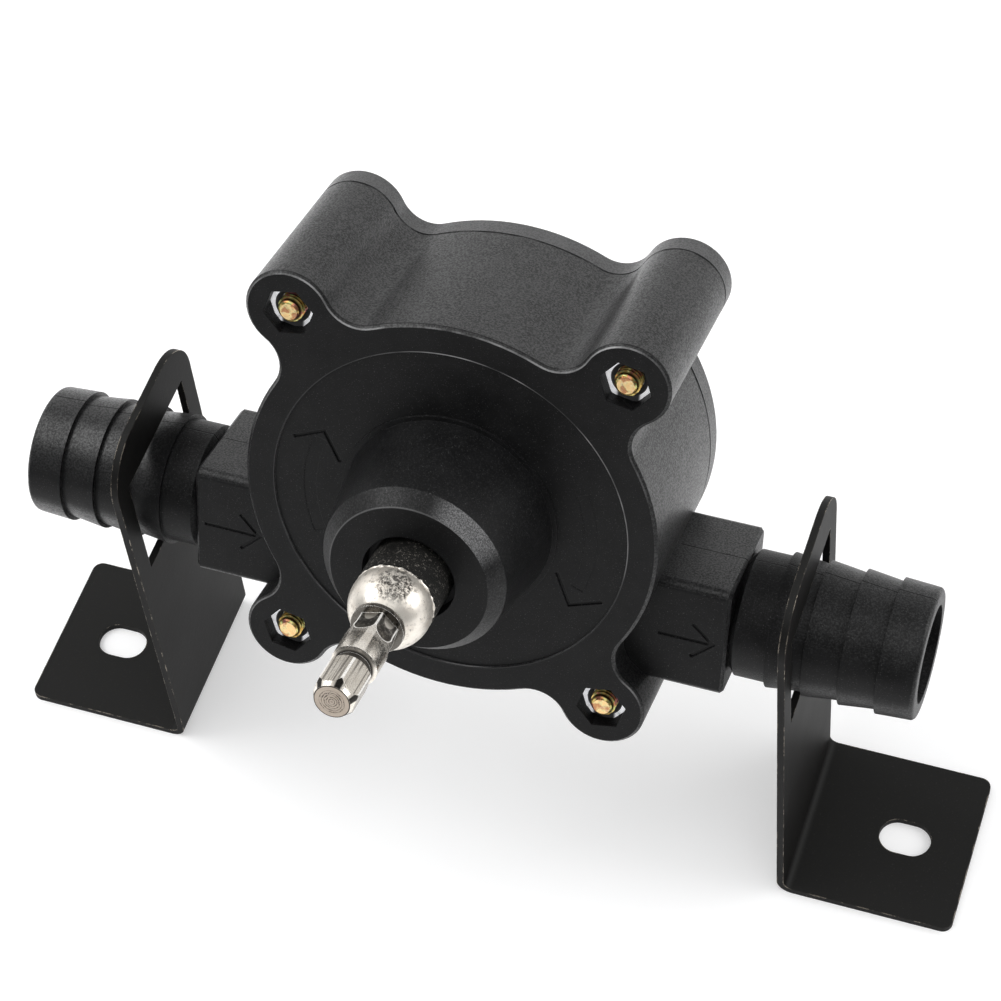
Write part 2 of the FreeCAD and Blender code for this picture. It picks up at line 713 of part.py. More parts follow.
def makeSeal():
    openRing("bearing_clip", "sizes.bearingRadius - sizes.clipBand", "sizes.bearingRadius + sizes.clipDepth",
             bearingBack, clipBack, "sizes.clipOpeningAngle")
    inside = "(sizes.bearingRadius - sizes.caseWall)"
    floor = "(%s - sizes.caseWall)" % sealFront
    turned("seal_case", [
        ("sizes.bearingRadius", sealFront), ("sizes.caseLip", sealFront), ("sizes.caseLip", floor),
        (inside, floor), (inside, sealBack), ("sizes.bearingRadius", sealBack)])
    touch = "(sizes.shaftRadius + sizes.lipGap)"
    tip = "(%s - sizes.lipLength)" % floor
    root = "(%s - sizes.lipThickness)" % floor
    turned("seal_lip", [
        ("sizes.caseLip - 1.2", floor), (inside, floor), (inside, root),
        ("sizes.caseLip", root), (touch + " + sizes.lipThickness", tip + " + 0.9"),
        (touch + " + sizes.lipThickness", tip), (touch + " + 0.4", tip),
        (touch, tip + " + 0.5"), ("sizes.caseLip - 1.2", root)])
    spring = newBody("seal_spring", pumpPose)
    garter = "(%s + sizes.lipThickness + sizes.garterWire)" % touch
    wire = addSketch(spring, "garter", "XZ_Plane")
    hexagon(wire, garter, tip + " + sizes.garterWire", "(2 * sizes.garterWire)", "30")
    spin(spring, "Revolution", "garterTurn", wire, "V_Axis")


def flatOnShaft(body, name, front, back):
    radius = "(sizes.shaftRadius + 0.5)"
    flat = addSketch(body, name, "XY_Plane", ("0", "0", front))
    rectangle(flat, "-" + radius, radius, "sizes.shaftRadius - sizes.flatDepth", radius)
    return pocket(body, name + "Pocket", flat, "%s - %s" % (front, back))


def makeShaft():
    shoulderBack = "sqrt(sizes.ballShoulder ^ 2 - (sizes.ballCentre - sizes.sleeveReach) ^ 2)"
    shoulderFront = "sqrt(sizes.ballShoulder ^ 2 - (sizes.collarStart - sizes.ballCentre) ^ 2)"
    shankStart = "(sizes.collarStart + sizes.collarWidth)"
    grooveEnd = "(sizes.grooveStart + sizes.grooveWidth)"
    hexCorner = "sizes.shankFlats / sqrt(3)"
    clipFloor = "(sizes.shaftRadius - sizes.shaftClipDepth)"
    body = turned("drive_shaft", [
        ("0", shaftEnd), ("sizes.shaftRadius - 0.5", shaftEnd), ("sizes.shaftRadius", shaftEnd + " + 0.5"),
        ("sizes.shaftRadius", shaftClipBack), (clipFloor, shaftClipBack), (clipFloor, hubBack),
        ("sizes.shaftRadius", hubBack), ("sizes.shaftRadius", "sizes.sleeveReach"),
        (shoulderBack, "sizes.sleeveReach"),
        ("sizes.ballShoulder", "sizes.ballCentre", "sizes.ballShoulder", 1),
        (shoulderFront, "sizes.collarStart", "sizes.ballShoulder", 1),
        ("sizes.collarRadius", "sizes.collarStart"), ("sizes.collarRadius", shankStart),
        ("sizes.barrelRadius", shankStart), ("sizes.barrelRadius", "sizes.grooveStart - sizes.grooveRamp"),
        ("sizes.grooveRadius", "sizes.grooveStart"), ("sizes.grooveRadius", grooveEnd),
        ("0", grooveEnd)])
    tip = addSketch(body, "tipHexagon", "XY_Plane", ("0", "0", grooveEnd))
    hexagon(tip, "0", "0", "sizes.shankFlats", "sizes.shankTurn")
    pad(body, "tipHexagonPad", tip, "sizes.shankTip - %s" % grooveEnd)
    bevel = addSketch(body, "tipBevel", "XZ_Plane")
    outline(bevel, [("sizes.tipRadius", "sizes.shankTip"), (hexCorner + " + 0.5", "sizes.shankTip"),
                    (hexCorner + " + 0.5", "sizes.shankTip - sizes.tipChamfer"),
                    (hexCorner, "sizes.shankTip - sizes.tipChamfer")])
    spin(body, "Groove", "tipBevelCut", bevel, "V_Axis")
    inward = addSketch(body, "grooveBevel", "XZ_Plane")
    outline(inward, [(hexCorner + " - 0.5", grooveEnd), (hexCorner + " + 0.5", grooveEnd),
                     (hexCorner + " + 0.5", grooveEnd + " + 0.6"), (hexCorner, grooveEnd + " + 0.6")])
    spin(body, "Groove", "grooveBevelCut", inward, "V_Axis")

    milled = addSketch(body, "milledFlat", "XZ_Plane")
    milled.setExpression("AttachmentOffset", "create(<<placement>>; create(<<vector>>; 0; 0; 0); "
                         "create(<<rotation>>; create(<<vector>>; 0; 1; 0); 30 + sizes.shankTurn))")
    depth = "sizes.neckFlats / 2"
    outside = "(sizes.barrelRadius + 0.6)"
    rise = "(%s - %s)" % (outside, depth)
    runOut = "sqrt(sizes.cutterRadius ^ 2 - (sizes.cutterRadius - %s) ^ 2)" % rise
    outline(milled, [(depth, shankStart), (outside, shankStart), (outside, "sizes.flatEnd + " + runOut),
                     (depth, "sizes.flatEnd", "sizes.cutterRadius", 1)])
    flatCut = pocket(body, "milledFlatPocket", milled, "4 * sizes.barrelRadius", middle=True)
    ringPattern(body, "milledFlats", [flatCut], "6")
    flatOnShaft(body, "driveFlat", impellerFront, hubBack)


def makeRotor():
    ring("shaft_sleeve", "sizes.shaftRadius", "sizes.sleeveRadius", "sizes.sleeveReach", bearingFront)
    ring("thrust_washer", "sizes.shaftRadius + sizes.endGap", "sizes.washerRadius",
         "-sizes.frontWall", "-(sizes.frontWall + sizes.washerThickness)")

    hub = newBody("impeller_hub", pumpPose)
    outside = addSketch(hub, "outside", "XY_Plane", ("0", "0", impellerFront))
    hexagon(outside, "0", "0", "sizes.hubFlats")
    pad(hub, "outsidePad", outside, "(%s - %s)" % (impellerFront, hubBack), back=True)
    bore = addSketch(hub, "bore", "XY_Plane", ("0", "0", impellerFront))
    flatHalf = "sqrt(sizes.shaftRadius ^ 2 - (sizes.shaftRadius - sizes.flatDepth) ^ 2)"
    flatLevel = "(sizes.shaftRadius - sizes.flatDepth)"
    outline(bore, [(flatHalf, flatLevel, "sizes.shaftRadius", 1), ("-" + flatHalf, flatLevel),
                   ("0", "-sizes.shaftRadius", "sizes.shaftRadius", 1)])
    pocket(hub, "borePocket", bore)

    impeller = newBody("impeller", pumpPose)
    width = "(%s - %s)" % (impellerFront, impellerBack)
    core = addSketch(impeller, "core", "XY_Plane", ("0", "0", impellerFront))
    circle(core, "0", "0", "sizes.impellerCore")
    pad(impeller, "corePad", core, width, back=True)
    reach = "(sizes.camRadius - sizes.vaneGap - sizes.vaneTip)"
    tipAcross = "(%s * cos(sizes.vaneSweep))" % reach
    tipUp = "(%s * sin(sizes.vaneSweep))" % reach
    blade = addSketch(impeller, "vane", "XY_Plane", ("0", "0", impellerFront))
    outline(blade, [("sizes.impellerCore - 1", "-sizes.vaneRoot / 2"),
                    (tipAcross, tipUp + " - sizes.vaneThickness / 2"),
                    (tipAcross, tipUp + " + sizes.vaneThickness / 2"),
                    ("sizes.impellerCore - 1", "sizes.vaneRoot / 2")])
    vane = pad(impeller, "vanePad", blade, width, back=True)
    bead = addSketch(impeller, "vaneBead", "XY_Plane", ("0", "0", impellerFront))
    circle(bead, tipAcross, tipUp, "sizes.vaneTip")
    beadPad = pad(impeller, "vaneBeadPad", bead, width, back=True)
    ringPattern(impeller, "vanes", [vane, beadPad], "sizes.vaneCount")
    seat = addSketch(impeller, "hubSeat", "XY_Plane", ("0", "0", impellerFront))
    hexagon(seat, "0", "0", "sizes.hubFlats")
    pocket(impeller, "hubSeatPocket", seat)

    openRing("shaft_clip", "sizes.shaftRadius - sizes.shaftClipDepth", "sizes.shaftClipRadius",
             hubBack, shaftClipBack, "sizes.clipOpeningAngle")
    ring("rear_bush", "sizes.shaftRadius + sizes.runningGap", "sizes.shaftRadius + sizes.bushWall",
         bushFront, bushBack)


def slotOutline(sketch, centre, length, width):
    reach = "((%s - %s) / 2)" % (length, width)
    left, right = "%s - %s" % (centre, reach), "%s + %s" % (centre, reach)
    half = value(width) / 2
    leftX, rightX = value(left), value(right)
    topLeft, topRight = Vector(leftX, half, 0), Vector(rightX, half, 0)
    bottomLeft, bottomRight = Vector(leftX, -half, 0), Vector(rightX, -half, 0)
    sketch.addGeometry(Part.LineSegment(topRight, topLeft), False)
    sketch.addGeometry(Part.Arc(topLeft, Vector(leftX - half, 0, 0), bottomLeft), False)
    sketch.addGeometry(Part.LineSegment(bottomLeft, bottomRight), False)
    sketch.addGeometry(Part.Arc(bottomRight, Vector(rightX + half, 0, 0), topRight), False)
    for index in range(4):
        sketch.addConstraint(Link("Tangent", index, 2, (index + 1) % 4, 1))
    sketch.addConstraint(Link("Equal", 1, 3))
    pin(sketch, 1, 3, left, "0")
    bind(sketch, "DistanceX", (-1, 1, 3, 3), right)
    bind(sketch, "Radius", (1,), width + " / 2")


# Angle bracket bent from one strap; side is 1 for the right one and -1 for the left one
def makeBracket(label, side):
    body = newBody(label, bracketPose)
    inner = "%d * %s" % (side, legSide)
    outer = "%d * (%s + sizes.strapThickness)" % (side, legSide)
    bend = "%d * (%s + sizes.strapThickness + sizes.bendRadius)" % (side, legSide)
    end = "%d * (%s + sizes.footLength)" % (side, legSide)
    floor = "-sizes.hoseHeight"
    foot = "(sizes.strapThickness - sizes.hoseHeight)"
    legFoot = "(%s + sizes.bendRadius)" % foot
    profile = addSketch(body, "profile", "XZ_Plane")
    outline(profile, [
        (outer, "sizes.legTop"), (inner, "sizes.legTop"), (inner, legFoot),
        (bend, floor, "(sizes.bendRadius + sizes.strapThickness)", side),
        (end, floor), (end, foot), (bend, foot),
        (outer, legFoot, "sizes.bendRadius", -side)])
    pad(body, "strap", profile, "sizes.strapWidth", middle=True)
    edge = value("sizes.strapWidth / 2")
    top = value("sizes.legTop")
    toe = value(legSide + " + sizes.footLength")
    dressEdges(body, "Fillet", "legCorners", "sizes.legCorner",
               lambda point: abs(abs(point.y) - edge) < touching and abs(point.z - top) < touching)
    dressEdges(body, "Fillet", "footCorners", "sizes.footCorner",
               lambda point: abs(abs(point.y) - edge) < touching and abs(abs(point.x) - toe) < touching)
    opening = addSketch(body, "ringHole", "YZ_Plane")
    half = "sizes.ringHole / 2"
    rectangle(opening, "-" + half, half, "-" + half, half)
    pocket(body, "ringHolePocket", opening, back=side > 0)
    slot = addSketch(body, "footSlot", "XY_Plane")
    middle = "%d * (%s + sizes.slotFromLeg)" % (side, legSide)
    slotOutline(slot, middle, "sizes.slotLength", "sizes.slotWidth")
    pocket(body, "footSlotPocket", slot)


makeCasing()
makeCover()
makeGasket()
makeScrews()
makeNuts()
makeBearing()
makeSeal()
makeShaft()
makeRotor()
makeBracket("left_bracket", -1)
makeBracket("right_bracket", 1)
document.recompute()

for item in document.Objects:
    if "Invalid" in item.State or "Error" in item.State:
        raise RuntimeError("%s is in state %s" % (item.Name, item.State))
for item in subParts:
    if item.Shape.isNull() or not item.Shape.isValid() or not item.Shape.Solids:
        raise RuntimeError("%s has no valid solid" % item.Label)

os.makedirs("parts", exist_ok=True)
for item in subParts:
    item.Shape.exportStep("parts/%s.step" % item.Label)
    print(item.Label, len(item.Shape.Solids), round(item.Shape.Volume, 1))
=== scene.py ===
import json
import math
import bmesh
import bpy
import numpy as np
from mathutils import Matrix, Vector


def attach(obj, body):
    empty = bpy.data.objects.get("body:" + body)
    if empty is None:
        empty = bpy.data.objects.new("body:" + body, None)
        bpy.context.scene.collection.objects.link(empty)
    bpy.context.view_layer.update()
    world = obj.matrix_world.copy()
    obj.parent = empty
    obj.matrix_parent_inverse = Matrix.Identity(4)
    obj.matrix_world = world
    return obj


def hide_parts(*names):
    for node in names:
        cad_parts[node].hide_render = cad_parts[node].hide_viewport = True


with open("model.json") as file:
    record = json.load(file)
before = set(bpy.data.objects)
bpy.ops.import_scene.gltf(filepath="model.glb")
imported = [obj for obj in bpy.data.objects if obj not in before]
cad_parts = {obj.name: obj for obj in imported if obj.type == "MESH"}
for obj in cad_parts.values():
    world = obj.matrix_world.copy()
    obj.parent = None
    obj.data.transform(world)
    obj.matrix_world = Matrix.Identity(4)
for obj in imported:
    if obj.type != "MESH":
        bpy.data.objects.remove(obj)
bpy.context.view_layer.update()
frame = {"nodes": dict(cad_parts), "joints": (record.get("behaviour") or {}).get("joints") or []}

mm = 0.001

# The pump's own front view: X right, Y up the front plate, Z forwards along the shaft
pump = {
    "tilt": 19.5,  # degrees that the front is tipped up about the hose line
    "plateToHose": 15.25,  # mm from the front plate back to the hose axis
    "lug": (26.9, 30.6),  # mm, centre of the upper right lug
}
spinJoint = [joint for joint in frame["joints"] if joint["name"] == "shaft_spin"][0]
plateCentre = np.array(spinJoint["pos_m"])
tilt = math.radians(pump["tilt"])
right = np.array([1.0, 0.0, 0.0])
upPlate = np.array([0.0, math.sin(tilt), math.cos(tilt)])
forwards = np.array([0.0, -math.cos(tilt), math.sin(tilt)])
lugCentres = [(side * pump["lug"][0], level * pump["lug"][1]) for level in (1, -1) for side in (-1, 1)]


# Front-view millimetres to the shared frame in metres
def toWorld(points):
    across, up, ahead = np.split(np.asarray(points, dtype=float), 3, axis=-1)
    return plateCentre + mm * (across * right + up * upPlate + ahead * forwards)


# A direction of the front view, turned into the shared frame
def toFrame(direction):
    return np.asarray(direction) @ np.array([right, upPlate, forwards])


def addObject(name, data):
    thing = bpy.data.objects.new(name, data)
    bpy.context.scene.collection.objects.link(thing)
    return thing


def smoothen(mesh, degrees):
    mesh.polygons.foreach_set("use_smooth", np.ones(len(mesh.polygons), dtype=bool))
    mesh.set_sharp_from_angle(angle=math.radians(degrees))
    mesh.update()


def finishPiece(piece, material, body, smoothTo):
    if material:
        piece.data.materials.clear()
        piece.data.materials.append(material)
    if smoothTo:
        smoothen(piece.data, smoothTo)
    if body:
        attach(piece, body)


def newPiece(name, points, faces, material, body, slot=None, smoothTo=None):
    mesh = bpy.data.meshes.new(name)
    mesh.from_pydata(np.asarray(points).tolist(), [], faces)
    mesh.validate()
    piece = addObject(name, mesh)
    finishPiece(piece, material, body, smoothTo)
    return piece


# Merges points closer than weld, takes out slivers thinner than sliver, and turns the faces outwards
def mendMesh(mesh, weld=None, sliver=None, outwards=False):
    build = bmesh.new()
    build.from_mesh(mesh)
    if weld:
        bmesh.ops.remove_doubles(build, verts=build.verts, dist=weld)
    if sliver:
        bmesh.ops.dissolve_degenerate(build, edges=build.edges, dist=sliver)
    if outwards:
        bmesh.ops.recalc_face_normals(build, faces=build.faces)
    build.to_mesh(mesh)
    build.free()


# A copy of a CAD node with its loose triangles merged, so that round walls shade smoothly
def skinOf(node, name, material, body, smoothTo=28):
    mesh = frame["nodes"][node].data.copy()
    mesh.name = name
    mendMesh(mesh, weld=2e-7, sliver=1e-8)
    if "custom_normal" in mesh.attributes:
        mesh.attributes.remove(mesh.attributes["custom_normal"])
    skin = addObject(name, mesh)
    finishPiece(skin, material, body, smoothTo)
    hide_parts(node)
    return skin


# Faces of a grid of rows x columns points whose columns run round; looped rows close on the first
def gridFaces(rows, columns, looped=False):
    row = np.arange(rows if looped else rows - 1)[:, None]
    column = np.arange(columns)[None, :]
    here, above = row * columns, (row + 1) % rows * columns
    following = (column + 1) % columns
    corners = [here + column, here + following, above + following, above + column]
    return np.stack(corners, axis=-1).reshape(-1, 4).tolist()


# Evenly spread angles of a full turn
def fullTurn(columns):
    return np.linspace(0, 2 * math.pi, columns, endpoint=False)


# Rings of points round an axis: x = radius cos(angle), y = radius sin(angle), z = level
def ringPoints(radii, levels):
    angle = fullTurn(radii.shape[1])
    return np.stack([radii * np.cos(angle), radii * np.sin(angle), levels], axis=-1).reshape(-1, 3)


# Cuts one form out of another and keeps the result in the piece's own mesh
def carve(piece, cutter):
    cut = piece.modifiers.new("carve", "BOOLEAN")
    cut.operation = "DIFFERENCE"
    cut.solver = "EXACT"
    cut.object = cutter
    bpy.context.view_layer.update()
    shape = bpy.data.meshes.new_from_object(piece.evaluated_get(bpy.context.evaluated_depsgraph_get()))
    piece.modifiers.remove(cut)
    old = piece.data
    piece.data = shape
    bpy.data.meshes.remove(old)
    bpy.data.objects.remove(cutter)


# A groove cutter: a band of the given width along a line of points on a plane, drawn out between two
# levels. At each corner its border is half the width over the cosine of half the bend away from the line
def grooveSolid(line, width, bottom, top):
    sharpest = 0.35  # cosine below which a mitre is cut short
    line = np.asarray(line, dtype=float)
    steps = np.diff(line, axis=0)
    steps /= np.linalg.norm(steps, axis=1)[:, None]
    before = np.vstack([steps[:1], steps])
    along = before + np.vstack([steps, steps[-1:]])
    along /= np.linalg.norm(along, axis=1)[:, None]
    normal = np.stack([-along[:, 1], along[:, 0]], axis=1)
    bend = np.einsum("ij,ij->i", normal, np.stack([-before[:, 1], before[:, 0]], axis=1))
    offset = normal * (1 / np.clip(bend, sharpest, 1) * width / 2)[:, None]
    border = np.vstack([line + offset, (line - offset)[::-1]])
    count = len(border)
    points = np.vstack([np.column_stack([border, np.full(count, level)]) for level in (bottom, top)])
    quads = []
    for near in range(count // 2 - 1):
        far, mirrorNear, mirrorFar = near + 1, count - 1 - near, count - 2 - near
        quads.append([near, mirrorNear, mirrorFar, far])
        quads.append([near + count, far + count, mirrorFar + count, mirrorNear + count])
    for index in range(count):
        following = (index + 1) % count
        quads.append([index, following, following + count, index + count])
    return points, quads


# Forms as (points, faces) pairs, joined into one such pair
def joined(forms):
    points, faces = [], []
    for corners, polygons in forms:
        faces.extend([[corner + len(points) for corner in polygon] for polygon in polygons])
        points.extend(np.asarray(corners).tolist())
    return points, faces


# Cuts grooves out of a piece, each given as (line, width, bottom, top) in front-view mm
def cutGrooves(piece, name, grooves):
    points, faces = joined([grooveSolid(*groove) for groove in grooves])
    mesh = bpy.data.meshes.new(name)
    mesh.from_pydata(toWorld(points).tolist(), [], faces)
    mendMesh(mesh, outwards=True)
    carve(piece, addObject(name, mesh))


# One output of a node, used in Python expressions
class Field:
    def __init__(self, paint, socket):
        self.paint, self.socket = paint, socket

    def maths(self, operation, *others, clamp=False):
        return self.paint.make("ShaderNodeMath", {"operation": operation, "use_clamp": clamp},
                               dict(enumerate((self,) + others)))

    def __add__(self, other):
        return self.maths("ADD", other)

    def __sub__(self, other):
        return self.maths("SUBTRACT", other)

    def __rsub__(self, other):
        return self.paint.make("ShaderNodeMath", {"operation": "SUBTRACT"}, {0: other, 1: self})

    def __mul__(self, other):
        return self.maths("MULTIPLY", other)

    def __truediv__(self, other):
        return self.maths("DIVIDE", other)

    __radd__ = __add__
    __rmul__ = __mul__

    def power(self, other):
        return self.maths("POWER", other)

    def sine(self):
        return self.maths("SINE")

    def size(self):
        return self.maths("ABSOLUTE")

    def clipped(self):
        return self.maths("ADD", 0.0, clamp=True)

    # 0 below the first value, 1 above the second one
    def rise(self, low, high):
        return self.paint.make("ShaderNodeMapRange", {"interpolation_type": "SMOOTHSTEP"},
                               {"Value": self, "From Min": low, "From Max": high})

    # 1 below the first value, 0 above the second one
    def fall(self, low, high):
        return 1 - self.rise(low, high)

    # 1 between two values, with soft ends
    def within(self, low, high, soft):
        return self.rise(low - soft, low + soft) * self.fall(high - soft, high + soft)


# Distance of a point from the origin of its two fields
def distance(across, up):
    return (across * across + up * up).power(0.5)


# The nodes of one material or of the world
class Paint:
    def __init__(self, owner):
        owner.use_nodes = True
        self.owner, self.tree = owner, owner.node_tree
        self.shader = self.tree.nodes.get("Principled BSDF") or self.tree.nodes["Background"]

    def make(self, kind, settings=None, values=None, out=0):
        node = self.tree.nodes.new(kind)
        for key, setting in (settings or {}).items():
            if key == "stops":
                self.setStops(node.color_ramp, setting)
            else:
                setattr(node, key, setting)
        for key, amount in (values or {}).items():
            self.feed(node.inputs[key], amount)
        return Field(self, node.outputs[out])

    def setStops(self, ramp, stops):
        while len(ramp.elements) < len(stops):
            ramp.elements.new(0.5)
        for element, (place, colour) in zip(ramp.elements, stops):
            element.position, element.color = place, colour + (1,)

    def feed(self, socket, amount):
        if isinstance(amount, Field):
            self.tree.links.new(amount.socket, socket)
        elif isinstance(amount, tuple) and socket.type == "RGBA" and len(amount) == 3:
            socket.default_value = amount + (1,)
        else:
            socket.default_value = amount

    def set(self, **values):
        for key, amount in values.items():
            self.feed(self.shader.inputs[key.replace("_", " ")], amount)
        return self.owner

    def objectPoint(self):
        return self.make("ShaderNodeTexCoord", out="Object")

    # Front view of the pump: the point in metres, and its three numbers in millimetres
    def frontView(self):
        spot = self.make("ShaderNodeMapping", {"vector_type": "TEXTURE"},
                         {"Vector": self.objectPoint(), "Location": tuple(plateCentre),
                          "Rotation": (math.pi / 2 - tilt, 0, 0)})
        return [spot] + [part / mm for part in self.split(spot)]

    # Distance from the axis of the nearest lug, in millimetres
    def lugRadius(self, across, up):
        return distance(across.size() - pump["lug"][0], up.size() - pump["lug"][1])

    # Rays to the eye, and rays seen in a mirror or through glass
    def rays(self):
        node = self.tree.nodes.new("ShaderNodeLightPath")
        eye, gloss, through = [Field(self, node.outputs["Is %s Ray" % kind])
                               for kind in ("Camera", "Glossy", "Transmission")]
        return eye, (gloss + through).clipped()

    def split(self, vector):
        node = self.tree.nodes.new("ShaderNodeSeparateXYZ")
        self.feed(node.inputs[0], vector)
        return [Field(self, output) for output in node.outputs]

    def noise(self, vector, scale, detail=3.0, roughness=0.55, stretch=None):
        if stretch:
            vector = self.make("ShaderNodeVectorMath", {"operation": "MULTIPLY"}, {0: vector, 1: stretch})
        return self.make("ShaderNodeTexNoise", None,
                         {"Vector": vector, "Scale": scale, "Detail": detail, "Roughness": roughness})

    # One noise for each entry: scale per metre, detail, roughness and, if it is drawn out, the stretch
    def noises(self, vector, entries):
        return [self.noise(vector, *entry) for entry in entries.values()]

    def mix(self, factor, first, second):
        return self.make("ShaderNodeMix", {"data_type": "RGBA"}, {0: factor, 6: first, 7: second}, out=2)

    # Colours laid over a shade one after another, each by its own factor
    def coats(self, shade, *layers):
        for factor, colour in layers:
            shade = self.mix(factor, shade, colour)
        return shade

    # Surface normal with edges rounded off by a radius in millimetres
    def softEdge(self, radius):
        return self.make("ShaderNodeBevel", {"samples": 6}, {"Radius": radius * mm})

    # Relief of a depth in millimetres over the surface, or over rounded edges
    def relief(self, height, depth, strength=1.0, edge=None):
        values = {"Height": height, "Distance": depth * mm, "Strength": strength}
        if edge:
            values["Normal"] = self.softEdge(edge)
        return self.make("ShaderNodeBump", None, values)

    def reliefOf(self, look, height):
        return self.relief(height, look["relief"], look["bumpiness"], look.get("edge"))

    # 1 where the surface faces a direction, -1 where it faces away
    def facing(self, direction):
        return self.make("ShaderNodeVectorMath", {"operation": "DOT_PRODUCT"},
                         {0: self.make("ShaderNodeTexCoord", out="Normal"), 1: tuple(direction)}, out="Value")

    # How sharply the surface turns within a radius in millimetres, 0 on a flat face
    def edgeWear(self, radius):
        sharp = self.make("ShaderNodeNewGeometry", out="Normal")
        together = self.make("ShaderNodeVectorMath", {"operation": "DOT_PRODUCT"},
                             {0: self.softEdge(radius), 1: sharp}, out="Value")
        return 1 - together


# In every look below, noises are read by Paint.noises, tones are colours, shares say how strongly a
# thing shows, cuts are the noise values between which it comes in, and zones are where it comes in:
# front-view mm, or how squarely the surface faces a direction. Three numbers in a zone are start, end
# and softness
plasticLook = {
    "noises": {"cloud": (170, 4, 0.6), "patches": (65, 3, 0.6), "grain": (3000, 3, 0.7),
               "fine": (5200, 2, 0.6), "rubs": (620, 5, 0.8, (1, 1, 0.35))},
    "sparkle": (50, 51),  # degrees: place round the shaft of the sparkling spot, and how far it leans out
    "zones": {
        "front": (0.9, 0.985), "top": (0.1, 0.6), "rightFace": (0.2, 0.8), "sparkle": (0.92, 1.0),
        "boss": (18.1, 18.4), "bossFoot": (-0.45, -0.4), "chamfer": (15.2, 15.4),
        "neck": (45.5, 53.0, 1.2), "rightTail": (46, 48), "pocket": (4.25, 4.4), "pocketFloor": (-7, -6),
        "seam": (0.05, 0.16), "blocks": (33.5, 34.5),
        "bevel": (-0.2, 0.01, 0.05), "gap": (-0.66, -0.46, 0.06),
        "step": (29.12, 29.36, 0.05), "stepWall": (-0.36, 0.05, 0.02), "stepLit": (6, 30),
        "rim": (12.66, 12.86, 0.05), "rimLevel": (17.5, 17.7), "rimLit": (4, 14),
    },
    "cuts": {"cloud": (0.32, 0.7), "grain": (0.5, 0.68), "rubs": (0.6, 0.8), "fleck": (0.64, 0.72),
             "bevel": (0.38, 0.6), "step": (0.36, 0.56), "spark": (0.4, 0.62),
             "grainGloss": (0.4, 0.6), "cloudGloss": (0.4, 0.6), "rubGloss": (0.5, 0.75)},
    # Of the tones, the pale line tone is a painted highlight, the next a painted glint, and the darkest
    # colours the seam and a painted shade line behind the bevel
    "tones": {"grain": (0.026, 0.026, 0.027), "rubs": (0.05, 0.05, 0.051), "fleck": (0.09, 0.09, 0.09),
              "line": (0.36, 0.36, 0.365), "spark": (0.3, 0.3, 0.305), "gap": (0.002, 0.002, 0.002)},
    "shares": {"rubs": 0.25, "fleck": 0.7, "step": 0.9, "rim": 0.22, "lines": 0.85, "spark": 0.6,
               "gaps": 0.8},
    "gloss": {"plain": 0.28, "grain": 0.7, "cloud": 0.1, "rubs": 0.25},
    "lineGrain": (0.6, 0.5),  # least brightness of the bevel's line, and what the grain adds
    "litFrom": (0.6, 0.8), "unlit": 0.1,  # front-view direction the step's line is lit from, and its rest
    "sparkRest": 0.3, "grainTone": (0.1, 0.4),  # between the sparks; grain tone in front and more at the side
    "height": {"grain": 0.7, "fine": 0.3, "front": 0.1, "boss": 0.6, "spark": 0.4, "rubs": 0.3, "seam": 1.4},
    "rough": (0.4, 0.14), "specular": 0.17, "coatRough": 0.36,  # rough: plain, and what the cloud adds
    # How much of the gloss goes; the chamfer gets a part of the boss's back
    "dulled": {"gap": 0.8, "boss": 0.96, "chamfer": -0.26, "neck": 0.9, "rightTail": 0.5, "rightFace": 0.2},
    "relief": 0.13, "edge": 0.16,  # mm
    "bumpiness": 1.0,
}
